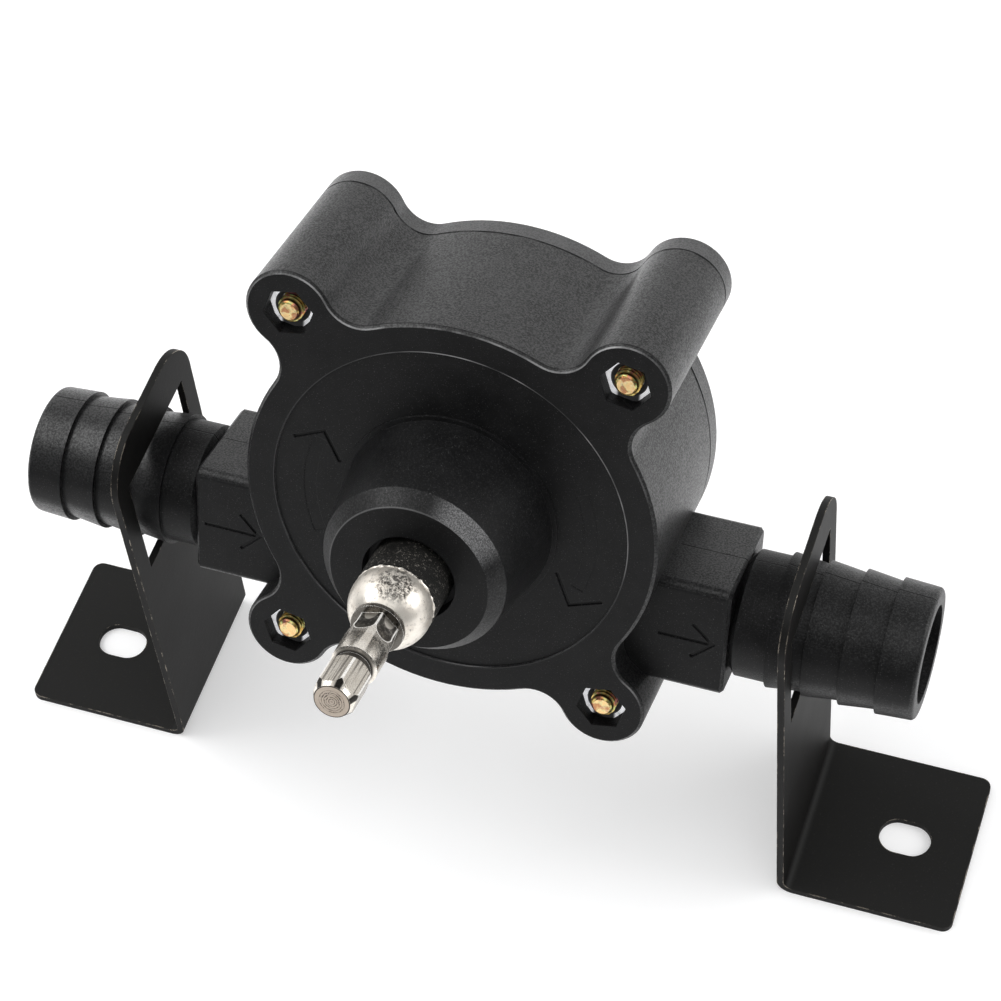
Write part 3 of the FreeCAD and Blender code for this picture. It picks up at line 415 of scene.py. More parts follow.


# Black moulded plastic: dull smooth fronts and boss, a faint gloss broken by fine sparkling grain on the
# sides, thin painted highlights along the plate's bevel, the panel's step and the boss's rim, a painted shade
# line behind the bevel, and a painted glint on the boss's chamfer
def mouldedPlastic(name, dark, light):
    zones, cuts, tones, shares = [plasticLook[key] for key in ("zones", "cuts", "tones", "shares")]
    shine, dulled, high = [plasticLook[key] for key in ("gloss", "dulled", "height")]
    paint = Paint(bpy.data.materials.new(name))
    spot, across, up, ahead = paint.frontView()
    cloud, patches, grain, fine, rubs = paint.noises(spot, plasticLook["noises"])
    radius = distance(across, up)
    turn, lean = np.radians(plasticLook["sparkle"])
    sparkle = toFrame([math.sin(lean) * math.cos(turn), math.sin(lean) * math.sin(turn), math.cos(lean)])
    side = 1 - paint.facing(forwards).rise(*zones["front"])
    top = paint.facing(upPlate).rise(*zones["top"])
    boss = radius.fall(*zones["boss"]) * ahead.rise(*zones["bossFoot"])
    chamfer = boss * ahead.rise(*zones["chamfer"]) * side
    neck = across.size().within(*zones["neck"])
    rightTail = across.rise(*zones["rightTail"])
    pocket = paint.lugRadius(across, up).fall(*zones["pocket"]) * ahead.rise(*zones["pocketFloor"])
    seam = (ahead + pump["plateToHose"]).size().fall(*zones["seam"]) * side
    seam = seam * across.size().rise(*zones["blocks"])
    # A painted shade line just behind the plate's bevel, on faces turned upwards
    gap = ahead.within(*zones["gap"]) * side * (1 - boss) * top

    # Painted highlights: along the plate's bevel on faces turned upwards, along the panel's step where it
    # faces the light, and along the boss's rim on its upper left
    bevelHighlight = ahead.within(*zones["bevel"]) * side * (1 - boss) * (1 - pocket) * top
    leastLine, grainLine = plasticLook["lineGrain"]
    bevelHighlight = bevelHighlight * patches.rise(*cuts["bevel"]) * (grain * grainLine + leastLine)
    litAcross, litUp = plasticLook["litFrom"]
    stepLit = (across * litAcross + up * litUp).rise(*zones["stepLit"]) * patches.rise(*cuts["step"])
    stepLit = stepLit + plasticLook["unlit"]
    stepHighlight = radius.within(*zones["step"]) * ahead.within(*zones["stepWall"]) * stepLit
    rimHighlight = radius.within(*zones["rim"]) * ahead.rise(*zones["rimLevel"])
    rimHighlight = rimHighlight * (up - across).rise(*zones["rimLit"])
    lines = (bevelHighlight + stepHighlight * shares["step"] + rimHighlight * shares["rim"]).clipped()
    rest = plasticLook["sparkRest"]
    # A painted glint: pale specks where the boss's chamfer faces the sparkle direction
    spark = chamfer * paint.facing(sparkle).rise(*zones["sparkle"])
    spark = spark * (fine.rise(*cuts["spark"]) * (1 - rest) + rest)

    frontTone, sideTone = plasticLook["grainTone"]
    shade = paint.coats(
        paint.mix(cloud.rise(*cuts["cloud"]), dark, light),
        (grain.rise(*cuts["grain"]) * (side * sideTone + frontTone), tones["grain"]),
        (rubs.rise(*cuts["rubs"]) * side * (1 - boss) * shares["rubs"], tones["rubs"]),
        (fine.rise(*cuts["fleck"]) * shares["fleck"], tones["fleck"]),
        (lines * shares["lines"], tones["line"]),
        (spark * shares["spark"], tones["spark"]),
        # The seam's own dark line, and the painted shade line behind the bevel
        ((seam + gap).clipped() * shares["gaps"], tones["gap"]))
    height = (grain * high["grain"] + fine * high["fine"]) * (side * (1 - high["front"]) + high["front"])
    height = height * (1 - boss * high["boss"] + spark * high["spark"])
    height = height + rubs * side * high["rubs"] - seam * high["seam"]
    gloss = shine["plain"] + grain.rise(*cuts["grainGloss"]) * shine["grain"]
    gloss = gloss + cloud.rise(*cuts["cloudGloss"]) * shine["cloud"]
    gloss = gloss + rubs.rise(*cuts["rubGloss"]) * shine["rubs"]
    gloss = gloss * side * (1 - seam) * (1 - gap * dulled["gap"]) * (1 - pocket)
    gloss = gloss * (1 - boss * dulled["boss"] - chamfer * dulled["chamfer"])
    gloss = gloss * (1 - neck * dulled["neck"]) * (1 - rightTail * dulled["rightTail"])
    gloss = gloss * (1 - paint.facing(right).rise(*zones["rightFace"]) * dulled["rightFace"])
    plainRough, cloudRough = plasticLook["rough"]
    return paint.set(Base_Color=shade, Roughness=plainRough + cloud * cloudRough,
                     Specular_IOR_Level=plasticLook["specular"],
                     Coat_Weight=gloss.clipped(), Coat_Roughness=plasticLook["coatRough"],
                     Normal=paint.reliefOf(plasticLook, height))


nickelLook = {
    "noises": {"cloud": (420, 4, 0.6), "pits": (2600, 3, 0.7), "speckle": (1500, 4, 0.8),
               "ground": (3300, 2, 0.5, (1, 1, 0.02))},
    "flats": (45, 105, 165),  # degrees round the shaft that the hexagon's faces look to
    "darkSpot": (0.216, 0.937, 0.276),  # front-view direction of the ball's painted dark reflection
    "lensTop": 31.3, "lensBow": 0.022,  # mm ahead of the plate, and how quickly the lens narrows
    "zones": {
        "ball": (30.3, 30.6), "ring": (30.46, 31.33, 0.03), "neck": (31.34, 36.6, 0.05),
        "neckRadius": (3.52, 3.58), "arc": (31.5, 36.8, 0.05), "arcRadius": (3.5, 3.59, 0.02),
        "groove": (40.9, 42.4, 0.12), "grooveRadius": (2.9, 3.5),
        "shank": (42.3, 42.6), "coneLevel": (47.0, 47.3), "coneFlat": (3.1, 3.165),
        "endFace": (49.5, 49.58), "rim": (2.6, 2.72), "scratched": (1.8, 2.3), "worn": (0.02, 0.1),
        "patch": (0.84, 0.97), "lensFace": (0.6, 0.75),
    },
    "corners": {"lens": (0.05, 0.07), "ridge": (1.112, 1.13), "cone": (1.05, 1.085)},  # radius over flat
    "cuts": {"cloud": (0.3, 0.75), "pits": (0.6, 0.7), "pitRough": (0.5, 0.7), "patch": (0.42, 0.56),
             "stain": (0.52, 0.64), "stainCloud": (0.44, 0.6), "ground": (0.5, 0.58), "neck": (0.45, 0.7),
             "scratch": (0.4, 0.6), "turned": (0.0, 0.9)},
    # Among the tones, the stain's also paints the ball's dark reflection, the neck's is painted shade, and
    # the last is a painted highlight
    "tones": {
        "bright": (0.93, 0.88, 0.8), "clouded": (0.76, 0.70, 0.62), "pits": (0.2, 0.18, 0.155),
        "stain": (0.05, 0.045, 0.04), "hexagon": (0.46, 0.425, 0.37), "ground": (0.13, 0.115, 0.1),
        "neck": (0.055, 0.052, 0.048), "cone": (0.012, 0.011, 0.01), "endFace": (0.47, 0.385, 0.31),
        "scratch": (0.05, 0.042, 0.036), "dirt": (0.03, 0.027, 0.024), "ridge": (0.97, 0.95, 0.91),
    },
    "shares": {"pits": 0.4, "stain": 0.5, "patch": 0.85, "hexagon": 0.6, "ground": 0.75, "neck": 0.94,
               "cone": 0.97, "endFace": 0.75, "ring": 0.86, "groove": 0.95, "rim": 0.95, "ridge": 0.85},
    "turned": (17, 12),  # radians per mm of the end face's rings, and how far the speckle waves them
    "neckSpeckle": 0.4, "scratchRest": 0.3,
    "height": {"ground": 1.2, "scratches": 0.8, "pits": 0.6, "speckle": 1.2, "ball": 0.7},
    "rough": {"plain": 0.2, "cloud": 0.12, "pits": 0.14, "ball": 0.05, "endFace": 0.2, "groove": 0.3,
              "neck": 0.08},
    "lessMetal": {"ball": 0.3, "ridge": 0.7}, "bumpiness": 0.8,
    "relief": 0.025, "edge": 0.06, "wear": 0.12,  # mm
}


# Nickel plate: a clouded bright ball with a painted dark reflection in a speckled patch, ground hexagon
# faces, painted highlights on the ridges, the run-out arcs and the sharp edges, the neck in painted shade but
# for a painted highlight on its upper side, black corners on the tip's chamfer, a turned end face, and dirt
# in the groove and on the collar
def nickelSteel(name):
    zones, cuts, tones, shares = [nickelLook[key] for key in ("zones", "cuts", "tones", "shares")]
    corners, high, coarse, less = [nickelLook[key] for key in ("corners", "height", "rough", "lessMetal")]
    paint = Paint(bpy.data.materials.new(name))
    spot, across, up, ahead = paint.frontView()
    cloud, pits, speckle, ground = paint.noises(spot, nickelLook["noises"])
    radius = distance(across, up)
    flat = across * 0
    for angle in np.radians(nickelLook["flats"]):
        flat = flat.maths("MAXIMUM", (across * math.cos(angle) + up * math.sin(angle)).size())
    corner = radius / flat
    endFace = ahead.rise(*zones["endFace"])
    shank = ahead.rise(*zones["shank"]) * (1 - endFace)
    cone = shank * flat.fall(*zones["coneFlat"]) * ahead.rise(*zones["coneLevel"])
    hexagon = shank * (1 - cone)
    neck = ahead.within(*zones["neck"]) * radius.fall(*zones["neckRadius"])
    ball = ahead.fall(*zones["ball"])
    ring = ahead.within(*zones["ring"])
    groove = ahead.within(*zones["groove"]) * radius.fall(*zones["grooveRadius"])
    rim = endFace * radius.rise(*zones["rim"])

    # Turned rings of the end face: a sine of the radius, waved by the speckle
    perRadius, perSpeckle = nickelLook["turned"]
    scratches = (radius * perRadius + speckle * perSpeckle).sine().rise(*cuts["turned"])
    scratches = scratches * endFace * radius.fall(*zones["scratched"])
    # A lens on the neck's upper side, left out of the neck's painted shade as a painted highlight
    down = ahead - nickelLook["lensTop"]
    lens = neck * (corner - 1 + down * down * nickelLook["lensBow"]).fall(*corners["lens"])
    lens = lens * paint.facing(upPlate).rise(*zones["lensFace"])
    # Painted highlights along the hexagon's ridges and the run-out arcs
    arc = ahead.within(*zones["arc"]) * radius.within(*zones["arcRadius"])
    ridge = (hexagon + neck).clipped() * corner.rise(*corners["ridge"]) + arc
    # A painted dark reflection on the ball: speckled dark where it faces one direction
    toDarkReflection = paint.facing(toFrame(nickelLook["darkSpot"]))
    patch = ball * toDarkReflection.rise(*zones["patch"]) * speckle.rise(*cuts["patch"])
    stain = ball * speckle.rise(*cuts["stain"]) * cloud.rise(*cuts["stainCloud"])
    # Sharp edges, lightened below with the same tone as the ridges' painted highlights
    worn = paint.edgeWear(nickelLook["wear"]).rise(*zones["worn"]) * (1 - rim) * (1 - cone)
    rest = nickelLook["scratchRest"]

    shade = paint.coats(
        paint.mix(cloud.rise(*cuts["cloud"]), tones["bright"], tones["clouded"]),
        (pits.rise(*cuts["pits"]) * shares["pits"], tones["pits"]),
        ((stain * shares["stain"] + patch * shares["patch"]).clipped(), tones["stain"]),
        (hexagon * shares["hexagon"], tones["hexagon"]),
        (ground.rise(*cuts["ground"]) * hexagon * shares["ground"], tones["ground"]),
        # The neck in painted shade
        (neck * (1 - lens) * (shares["neck"] - speckle.rise(*cuts["neck"]) * nickelLook["neckSpeckle"]),
         tones["neck"]),
        (cone * corner.rise(*corners["cone"]) * shares["cone"], tones["cone"]),
        (endFace * shares["endFace"], tones["endFace"]),
        (scratches * (speckle.rise(*cuts["scratch"]) * (1 - rest) + rest), tones["scratch"]),
        ((ring * shares["ring"] + groove * shares["groove"] + rim * shares["rim"]).clipped(), tones["dirt"]),
        ((ridge + worn).clipped() * shares["ridge"], tones["ridge"]))
    height = ground * hexagon * high["ground"] + scratches * high["scratches"] + pits * high["pits"]
    height = height + speckle * (neck + stain + patch + ball * high["ball"]) * high["speckle"]
    rough = coarse["plain"] + cloud * coarse["cloud"] + pits.rise(*cuts["pitRough"]) * coarse["pits"]
    rough = rough + ball * coarse["ball"] + endFace * coarse["endFace"]
    rough = rough + groove * coarse["groove"] + neck * coarse["neck"]
    metal = 1 - ball * (1 - patch) * less["ball"] - ridge * less["ridge"]
    return paint.set(Base_Color=shade, Metallic=metal.clipped(), Roughness=rough,
                     Normal=paint.reliefOf(nickelLook, height))


darkSteelLook = {
    "noises": {"grain": (2600, 4, 0.75), "cloud": (260, 3)},
    "cuts": {"cloud": (0.3, 0.7), "glint": (0.56, 0.66), "glintCloud": (0.35, 0.55)},
    "tones": {"dark": (0.006, 0.006, 0.0056), "light": (0.016, 0.0155, 0.0145), "glint": (0.42, 0.39, 0.35)},
    "glint": 0.9,  # share
    "rough": (0.4, 0.2, -0.14), "specular": 0.2,  # rough: plain, and what cloud and glint add
    "relief": 0.12, "bumpiness": 1.0,  # mm, share
}


# Blackened sintered steel: dark and coarse, with small bright glints
def darkSteel(name):
    cuts, tones = darkSteelLook["cuts"], darkSteelLook["tones"]
    paint = Paint(bpy.data.materials.new(name))
    grain, cloud = paint.noises(paint.objectPoint(), darkSteelLook["noises"])
    glint = grain.rise(*cuts["glint"]) * cloud.rise(*cuts["glintCloud"])
    shade = paint.coats(paint.mix(cloud.rise(*cuts["cloud"]), tones["dark"], tones["light"]),
                        (glint * darkSteelLook["glint"], tones["glint"]))
    plainRough, cloudRough, glintRough = darkSteelLook["rough"]
    return paint.set(Base_Color=shade, Metallic=glint * darkSteelLook["glint"],
                     Roughness=plainRough + cloud * cloudRough + glint * glintRough,
                     Specular_IOR_Level=darkSteelLook["specular"],
                     Normal=paint.reliefOf(darkSteelLook, grain))


# Bright metal with a clouded tint and fine scratches
def plainMetal(name, light, dark, rough, scale=1400):
    paint = Paint(bpy.data.materials.new(name))
    spot = paint.objectPoint()
    cloud = paint.noise(spot, scale * 0.25, 3)
    grain = paint.noise(spot, scale, 3, 0.6)
    return paint.set(Base_Color=paint.mix(cloud.rise(0.35, 0.65), light, dark), Metallic=1.0,
                     Roughness=rough + grain * 0.18, Normal=paint.relief(grain, 0.012, 0.6, 0.08))


# Soft or dull parts inside: one colour pair, a cloud and a grain
def dullPart(name, light, dark, rough, scale=900):
    paint = Paint(bpy.data.materials.new(name))
    spot = paint.objectPoint()
    cloud = paint.noise(spot, scale * 0.2, 3)
    grain = paint.noise(spot, scale, 4, 0.6)
    shade = paint.coats(paint.mix(cloud.rise(0.3, 0.7), light, dark), (grain.rise(0.55, 0.75) * 0.3, light))
    return paint.set(Base_Color=shade, Roughness=rough + grain * 0.15, Normal=paint.relief(grain, 0.03, 0.7))


paintLook = {
    "noises": {"peel": (900, 3, 0.5), "dust": (3600, 2, 0.6), "cloud": (60, 4), "patches": (320, 5, 0.75)},
    "zones": {"edge": (0.03, 0.16), "level": (0.5, 0.9)},
    "cuts": {"cloud": (0.3, 0.7), "dust": (0.62, 0.75), "worn": (0.5, 0.58)},
    # The level tone is painted light from above on faces turned upwards
    "tones": {"dark": (0.0062, 0.006, 0.0058), "light": (0.0095, 0.0091, 0.0087),
              "level": (0.017, 0.017, 0.0165), "dust": (0.05, 0.048, 0.045),
              "edge": (0.07, 0.063, 0.056), "worn": (0.44, 0.39, 0.32)},
    "shares": {"level": 0.8, "dust": 0.35, "edge": 0.4, "worn": 0.85},
    "rough": (0.46, 0.12, -0.2), "specular": 0.11,  # rough: plain, and what cloud and worn metal add
    "dustHeight": 0.4, "bumpiness": 0.5,
    "relief": 0.03, "edge": 0.2, "wear": 0.3,  # mm
}


# Satin black paint over steel: fine orange peel, faces turned upwards lightened as painted light from above,
# dust, and rubbed to bare metal along the stamped edges
def satinPaint(name):
    zones, cuts, tones, shares = [paintLook[key] for key in ("zones", "cuts", "tones", "shares")]
    paint = Paint(bpy.data.materials.new(name))
    peel, dust, cloud, patches = paint.noises(paint.objectPoint(), paintLook["noises"])
    edge = paint.edgeWear(paintLook["wear"]).rise(*zones["edge"])
    worn = edge * patches.rise(*cuts["worn"])
    shade = paint.coats(
        paint.mix(cloud.rise(*cuts["cloud"]), tones["dark"], tones["light"]),
        # Faces turned upwards lightened, as painted light from above
        (paint.facing((0, 0, 1)).rise(*zones["level"]) * shares["level"], tones["level"]),
        (dust.rise(*cuts["dust"]) * shares["dust"], tones["dust"]),
        (edge * shares["edge"], tones["edge"]),
        (worn * shares["worn"], tones["worn"]))
    plainRough, cloudRough, wornRough = paintLook["rough"]
    return paint.set(Base_Color=shade, Metallic=worn * shares["worn"],
                     Roughness=plainRough + cloud * cloudRough + worn * wornRough,
                     Specular_IOR_Level=paintLook["specular"],
                     Normal=paint.reliefOf(paintLook, peel + dust * paintLook["dustHeight"]))


goldLook = {
    "noises": {"cloud": (480, 3), "grain": (1700, 3, 0.6)},
    "rainbow": [(0.0, (0.80, 0.47, 0.12)), (0.42, (0.90, 0.70, 0.24)), (0.6, (0.55, 0.68, 0.28)),
                (0.72, (0.90, 0.46, 0.14)), (1.0, (0.66, 0.24, 0.26))],
    "zones": {"tipFace": (-0.3, -0.22), "root": (1.7, 2.06), "rootEnd": (-0.62, -0.45),
              "rootStart": (-12, -11)},
    "cuts": {"rainbow": (0.3, 0.7), "blotch": (0.5, 0.6), "grain": (0.55, 0.7)},
    # The root tone is painted shade in the thread roots
    "tones": {"tipFace": (0.86, 0.56, 0.36), "blotch": (0.34, 0.15, 0.05), "grain": (0.95, 0.88, 0.68),
              "root": (0.03, 0.018, 0.008)},
    "shares": {"tipFace": 0.5, "blotch": 0.7, "grain": 0.3, "root": 0.95},
    "rough": (0.22, 0.16, 0.3),  # plain, and what grain and the thread root add
    "blotchHeight": 0.6, "bumpiness": 0.8,
    "relief": 0.03, "edge": 0.05,  # mm
}


# Yellow passivated zinc: gold with green and red clouds, painted shade in the thread roots, a pale tip face
def yellowZinc(name):
    zones, cuts, tones, shares = [goldLook[key] for key in ("zones", "cuts", "tones", "shares")]
    paint = Paint(bpy.data.materials.new(name))
    spot, across, up, ahead = paint.frontView()
    cloud, grain = paint.noises(spot, goldLook["noises"])
    rainbow = paint.make("ShaderNodeValToRGB", {"stops": goldLook["rainbow"]},
                         {0: cloud.rise(*cuts["rainbow"])})
    tipFace = ahead.rise(*zones["tipFace"])
    blotch = cloud.rise(*cuts["blotch"])
    # Painted shade in the thread roots, between the tip and the nut
    root = paint.lugRadius(across, up).fall(*zones["root"])
    root = root * ahead.fall(*zones["rootEnd"]) * ahead.rise(*zones["rootStart"])
    shade = paint.coats(
        rainbow,
        (tipFace * shares["tipFace"], tones["tipFace"]),
        (tipFace * blotch * shares["blotch"], tones["blotch"]),
        (grain.rise(*cuts["grain"]) * shares["grain"], tones["grain"]),
        (root * shares["root"], tones["root"]))
    plainRough, grainRough, rootRough = goldLook["rough"]
    return paint.set(Base_Color=shade, Metallic=1.0,
                     Roughness=plainRough + grain * grainRough + root * rootRough,
                     Normal=paint.reliefOf(goldLook, grain + blotch * tipFace * goldLook["blotchHeight"]))


zincLook = {
    "noises": {"cloud": (300, 3), "grain": (1300, 3, 0.6)},
    "zones": {"mouth": (2.86, 2.98), "mouthFloor": (-3.4, -3.2), "aside": (1.5, 2.1)},
    "cuts": {"cloud": (0.35, 0.65), "grain": (0.6, 0.75), "lift": (0.5, 0.7)},
    # Of the tones, the dark one is painted shade and the last a painted glow, given out as emission
    "tones": {"bright": (0.95, 0.955, 0.97), "clouded": (0.84, 0.85, 0.88), "grain": (0.3, 0.3, 0.3),
              "oil": (0.02, 0.02, 0.02), "lift": (0.42, 0.42, 0.43)},
    "shares": {"grain": 0.5, "oil": 0.93, "lift": 0.6},
    "rough": (0.34, 0.2), "metallic": 0.3, "bumpiness": 0.7,  # rough: plain, and what the grain adds
    "relief": 0.02, "edge": 0.08,  # mm
}


# Bright zinc on the nuts, with a painted glow that lifts it a little as it faces the dark side of the room,
# and painted shade in the mouth and straight above and below the screw
def nutZinc(name):
    zones, cuts, tones, shares = [zincLook[key] for key in ("zones", "cuts", "tones", "shares")]
    paint = Paint(bpy.data.materials.new(name))
    spot, across, up, ahead = paint.frontView()
    cloud, grain = paint.noises(spot, zincLook["noises"])
    # Painted shade in the countersunk mouth and straight above and below the screw; the rest of the face
    # stays bright
    mouth = paint.lugRadius(across, up).fall(*zones["mouth"]) * ahead.rise(*zones["mouthFloor"])
    bright = (across.size() - pump["lug"][0]).size().rise(*zones["aside"]) * (1 - mouth)
    shade = paint.coats(
        paint.mix(cloud.rise(*cuts["cloud"]), tones["bright"], tones["clouded"]),
        (grain.rise(*cuts["grain"]) * shares["grain"], tones["grain"]),
        ((1 - bright) * shares["oil"], tones["oil"]))
    # A painted glow: emission on the bright part of the face, weaker where the grain is high
    lift = paint.mix(bright * (1 - grain.rise(*cuts["lift"]) * shares["lift"]), (0, 0, 0), tones["lift"])
    plainRough, grainRough = zincLook["rough"]
    return paint.set(Base_Color=shade, Metallic=zincLook["metallic"],
                     Roughness=plainRough + grain * grainRough, Emission_Color=lift, Emission_Strength=1.0,
                     Normal=paint.reliefOf(zincLook, grain))


finishes = {
    "black_plastic": mouldedPlastic("blackMouldedPlastic", (0.0046, 0.0047, 0.005), (0.008, 0.0081, 0.0085)),
    "cover_plastic": mouldedPlastic("blackCoverPlastic", (0.044, 0.044, 0.045), (0.056, 0.056, 0.057)),
    "nickel_steel": nickelSteel("nickelPlatedSteel"),
    "dark_steel": darkSteel("blackenedSteel"),
    "bearing_steel": plainMetal("bearingSteel", (0.62, 0.61, 0.6), (0.5, 0.49, 0.48), 0.16),
    "zinc_steel": plainMetal("brightZinc", (0.86, 0.87, 0.9), (0.72, 0.75, 0.79), 0.24, 1100),
    "nut_zinc": nutZinc("paleZinc"),
    "yellow_zinc": yellowZinc("yellowZinc"),
    "black_paint": satinPaint("satinBlackPaint"),
    "rubber": dullPart("nitrileRubber", (0.028, 0.028, 0.029), (0.016, 0.016, 0.017), 0.55),
    "brass": plainMetal("turnedBrass", (0.78, 0.56, 0.26), (0.66, 0.45, 0.19), 0.28),
    "bronze": plainMetal("sinteredBronze", (0.55, 0.34, 0.17), (0.38, 0.23, 0.12), 0.4, 2400),
    "cage_plastic": dullPart("nylonCage", (0.78, 0.72, 0.58), (0.68, 0.61, 0.47), 0.4),
    "washer_plastic": dullPart("slipperyWasher", (0.82, 0.82, 0.79), (0.74, 0.74, 0.7), 0.35),
}
print("materials:", len(finishes))

innerFinish = {
    "bearing_inner_race": "bearing_steel", "bearing_outer_race": "bearing_steel",
    "bearing_balls": "bearing_steel", "bearing_cage": "cage_plastic", "bearing_shields": "rubber",
    "bearing_clip": "dark_steel", "seal_case": "zinc_steel", "seal_lip": "rubber",
    "seal_spring": "bearing_steel", "thrust_washer": "washer_plastic", "impeller_hub": "brass",
    "impeller": "rubber", "shaft_clip": "bearing_steel", "rear_bush": "bronze",
}
for node, finish in innerFinish.items():
    shown = frame["nodes"][node]
    shown.data.materials.clear()
    shown.data.materials.append(finishes[finish])
print("inner nodes finished:", len(innerFinish))

casing = {
    "panelLevel": -0.35,  # mm, level of the recessed front panel
    "blockFront": -5.05,  # mm, level of the port blocks' front faces
    "clear": 0.4,  # mm that the cutters stand out of the plate and of the blocks
    "grooveDepth": 0.24,
    "chevronWidth": 0.62,
    "chevrons": [[(-26.0, 7.9), (-20.9, 10.2), (-18.2, 5.0)],
                 [(18.1, -6.4), (20.4, -12.1), (25.7, -10.1)]],
    "bandWidth": 2.1, "bandDepth": 0.05, "bandRadius": 23.2, "bandPoints": 15,
    "bands": [(158, 203), (-22, 23)],  # degrees round the shaft axis
    "portArrowWidth": 0.6,
    "portArrows": [[(-43.5, -16.9), (-34.3, -17.0)], [(33.9, -17.0), (43.0, -17.0)]],
    "portHeads": [[(-37.2, -13.4), (-33.9, -17.0), (-37.2, -20.2)],
                  [(39.4, -13.8), (42.9, -17.0), (39.4, -20.2)]],
    "smoothTo": 28,  # degrees
}


# Points of an arc round the shaft axis: x = radius cos(angle), y = radius sin(angle)
def arcLine(start, end):
    angle = np.radians(np.linspace(start, end, casing["bandPoints"]))
    return casing["bandRadius"] * np.column_stack([np.cos(angle), np.sin(angle)])


# Grooves in the recessed panel, or in the front faces of the port blocks
def panelGrooves(lines, width, depth):
    return [(line, width, casing["panelLevel"] - depth, casing["clear"]) for line in lines]


def blockGrooves(lines):
    bottom, top = casing["blockFront"] - casing["grooveDepth"], casing["blockFront"] + casing["clear"]
    return [(line, casing["portArrowWidth"], bottom, top) for line in lines]


housing = skinOf("pump_casing", "pumpHousing", finishes["black_plastic"], "housing")
plainFaces = len(housing.data.polygons)
chevrons = panelGrooves(casing["chevrons"], casing["chevronWidth"], casing["grooveDepth"])
cutGrooves(housing, "arrowHeads", chevrons + blockGrooves(casing["portHeads"]))
arcs = [arcLine(start, end) for start, end in casing["bands"]]
bands = panelGrooves(arcs, casing["bandWidth"], casing["bandDepth"])
cutGrooves(housing, "arrowShafts", bands + blockGrooves(casing["portArrows"]))
smoothen(housing.data, casing["smoothTo"])
print("housing carved:", plainFaces, "to", len(housing.data.polygons), "faces")

cover = skinOf("rear_cover", "rearCover", finishes["cover_plastic"], "housing")
print("rear cover:", len(cover.data.polygons), "faces")

squeeze = {
    "least": 0.24, "most": 0.37,  # mm that the gasket stands out of its seat
    "fromRadius": 27.5,  # mm from the shaft axis, inside which the gasket stays as it is
    "wave": 900, "slower": 0.37, "shift": 1,  # radians per metre, and the second sine's share and start
}


def vertexField(mesh, name):
    values = np.zeros(len(mesh.vertices) * 3)
    mesh.vertices.foreach_get(name, values)
    return values.reshape(-1, 3)


# The gasket's outer wall moves out along its own normals by a product of two sines of the place across
def squeezeOut(mesh):
    corners, normals = vertexField(mesh, "co"), vertexField(mesh, "normal")
    normals = normals - np.outer(normals @ forwards, forwards)
    normals /= np.maximum(np.linalg.norm(normals, axis=1), 1e-6)[:, None]
    away = corners - plateCentre
    fromAxis = np.hypot(away @ right, away @ upPlate)
    outer = (np.einsum("ij,ij->i", normals, away) > 0) & (fromAxis > squeeze["fromRadius"] * mm)
    phase = corners[:, 0] * squeeze["wave"]
    wave = 0.5 + 0.5 * np.sin(phase) * np.sin(phase * squeeze["slower"] + squeeze["shift"])
    push = squeeze["least"] + (squeeze["most"] - squeeze["least"]) * wave
    mesh.vertices.foreach_set("co", (corners + normals * (push * outer * mm)[:, None]).ravel())
    mesh.update()
    return int(outer.sum())


gasket = skinOf("cover_gasket", "seamGasket", finishes["black_plastic"], "housing")
print("gasket:", squeezeOut(gasket.data), "corners moved")


screw = {
    "crest": 2.12, "root": 1.4, "pitch": 0.7, "tip": -0.2, "tipTaper": 0.72, "threadEnd": -9.0,  # mm
    "crestShare": 1.25, "flank": 4, "stepsPerPitch": 8,  # the thread's profile along one pitch
    "shank": 1.9, "runOut": 0.3, "shankEnd": 0.2,
    "headFront": -34.0, "headRadius": 3.8, "headHeight": 2.46, "headFlat": 2.2, "headMiddle": 0.8,
    "crownSteps": 7,
    "recessSpan": 4.4, "recessWidth": 0.95, "recessDepth": 1.5, "recessClear": 1.0,
    "columns": 40, "smoothTo": 35,
}
nut = {
    "flats": 7.0, "front": -2.2, "thickness": 3.2, "turn": -11.0,  # mm, and degrees round its own axis
    "cone": 3.72, "coneFall": 30.0,  # radius at which the corners start to fall away, and degrees
    "mouth": 2.9, "hole": 2.16, "mouthDepth": 0.6, "columns": 72, "smoothTo": 20,
}


# Thread: the radius falls from crest to root with the distance from a helix, and tapers at the tip.
# The head is a dome: radius = flat + (rim - flat) cos(t), level = front - height sin(t)
def screwForm():
    headFront, headBack = screw["headFront"], screw["headFront"] - screw["headHeight"]
    threadLevels = np.arange(screw["tip"], screw["threadEnd"], -screw["pitch"] / screw["stepsPerPitch"])
    crown = np.linspace(0, math.pi / 2, screw["crownSteps"])
    domeRadius = screw["headFlat"] + (screw["headRadius"] - screw["headFlat"]) * np.cos(crown)
    domeLevel = headFront - screw["headHeight"] * np.sin(crown)
    shankLevels = [screw["threadEnd"] - screw["runOut"], headFront + screw["shankEnd"], headFront]
    levels = np.concatenate([threadLevels, shankLevels, domeLevel, [headBack]])[:, None]
    plain = np.concatenate([threadLevels * 0, [screw["shank"]] * len(shankLevels), domeRadius,
                            [screw["headMiddle"]]])[:, None]
    onThread = (np.arange(len(levels)) < len(threadLevels))[:, None]
    phase = (levels / screw["pitch"] + fullTurn(screw["columns"]) / (2 * math.pi)) % 1
    crest = np.clip(screw["crestShare"] - np.abs(phase - 0.5) * screw["flank"], 0, 1)
    thread = screw["root"] + (screw["crest"] - screw["root"]) * crest
    taper = screw["crest"] - screw["tipTaper"] + (screw["tip"] - levels)
    radii = np.where(onThread, np.minimum(thread, taper), plain)
    rows, columns = radii.shape
    caps = [list(range(columns))[::-1], list(range((rows - 1) * columns, rows * columns))]
    return ringPoints(radii, np.broadcast_to(levels, radii.shape)), gridFaces(rows, columns) + caps


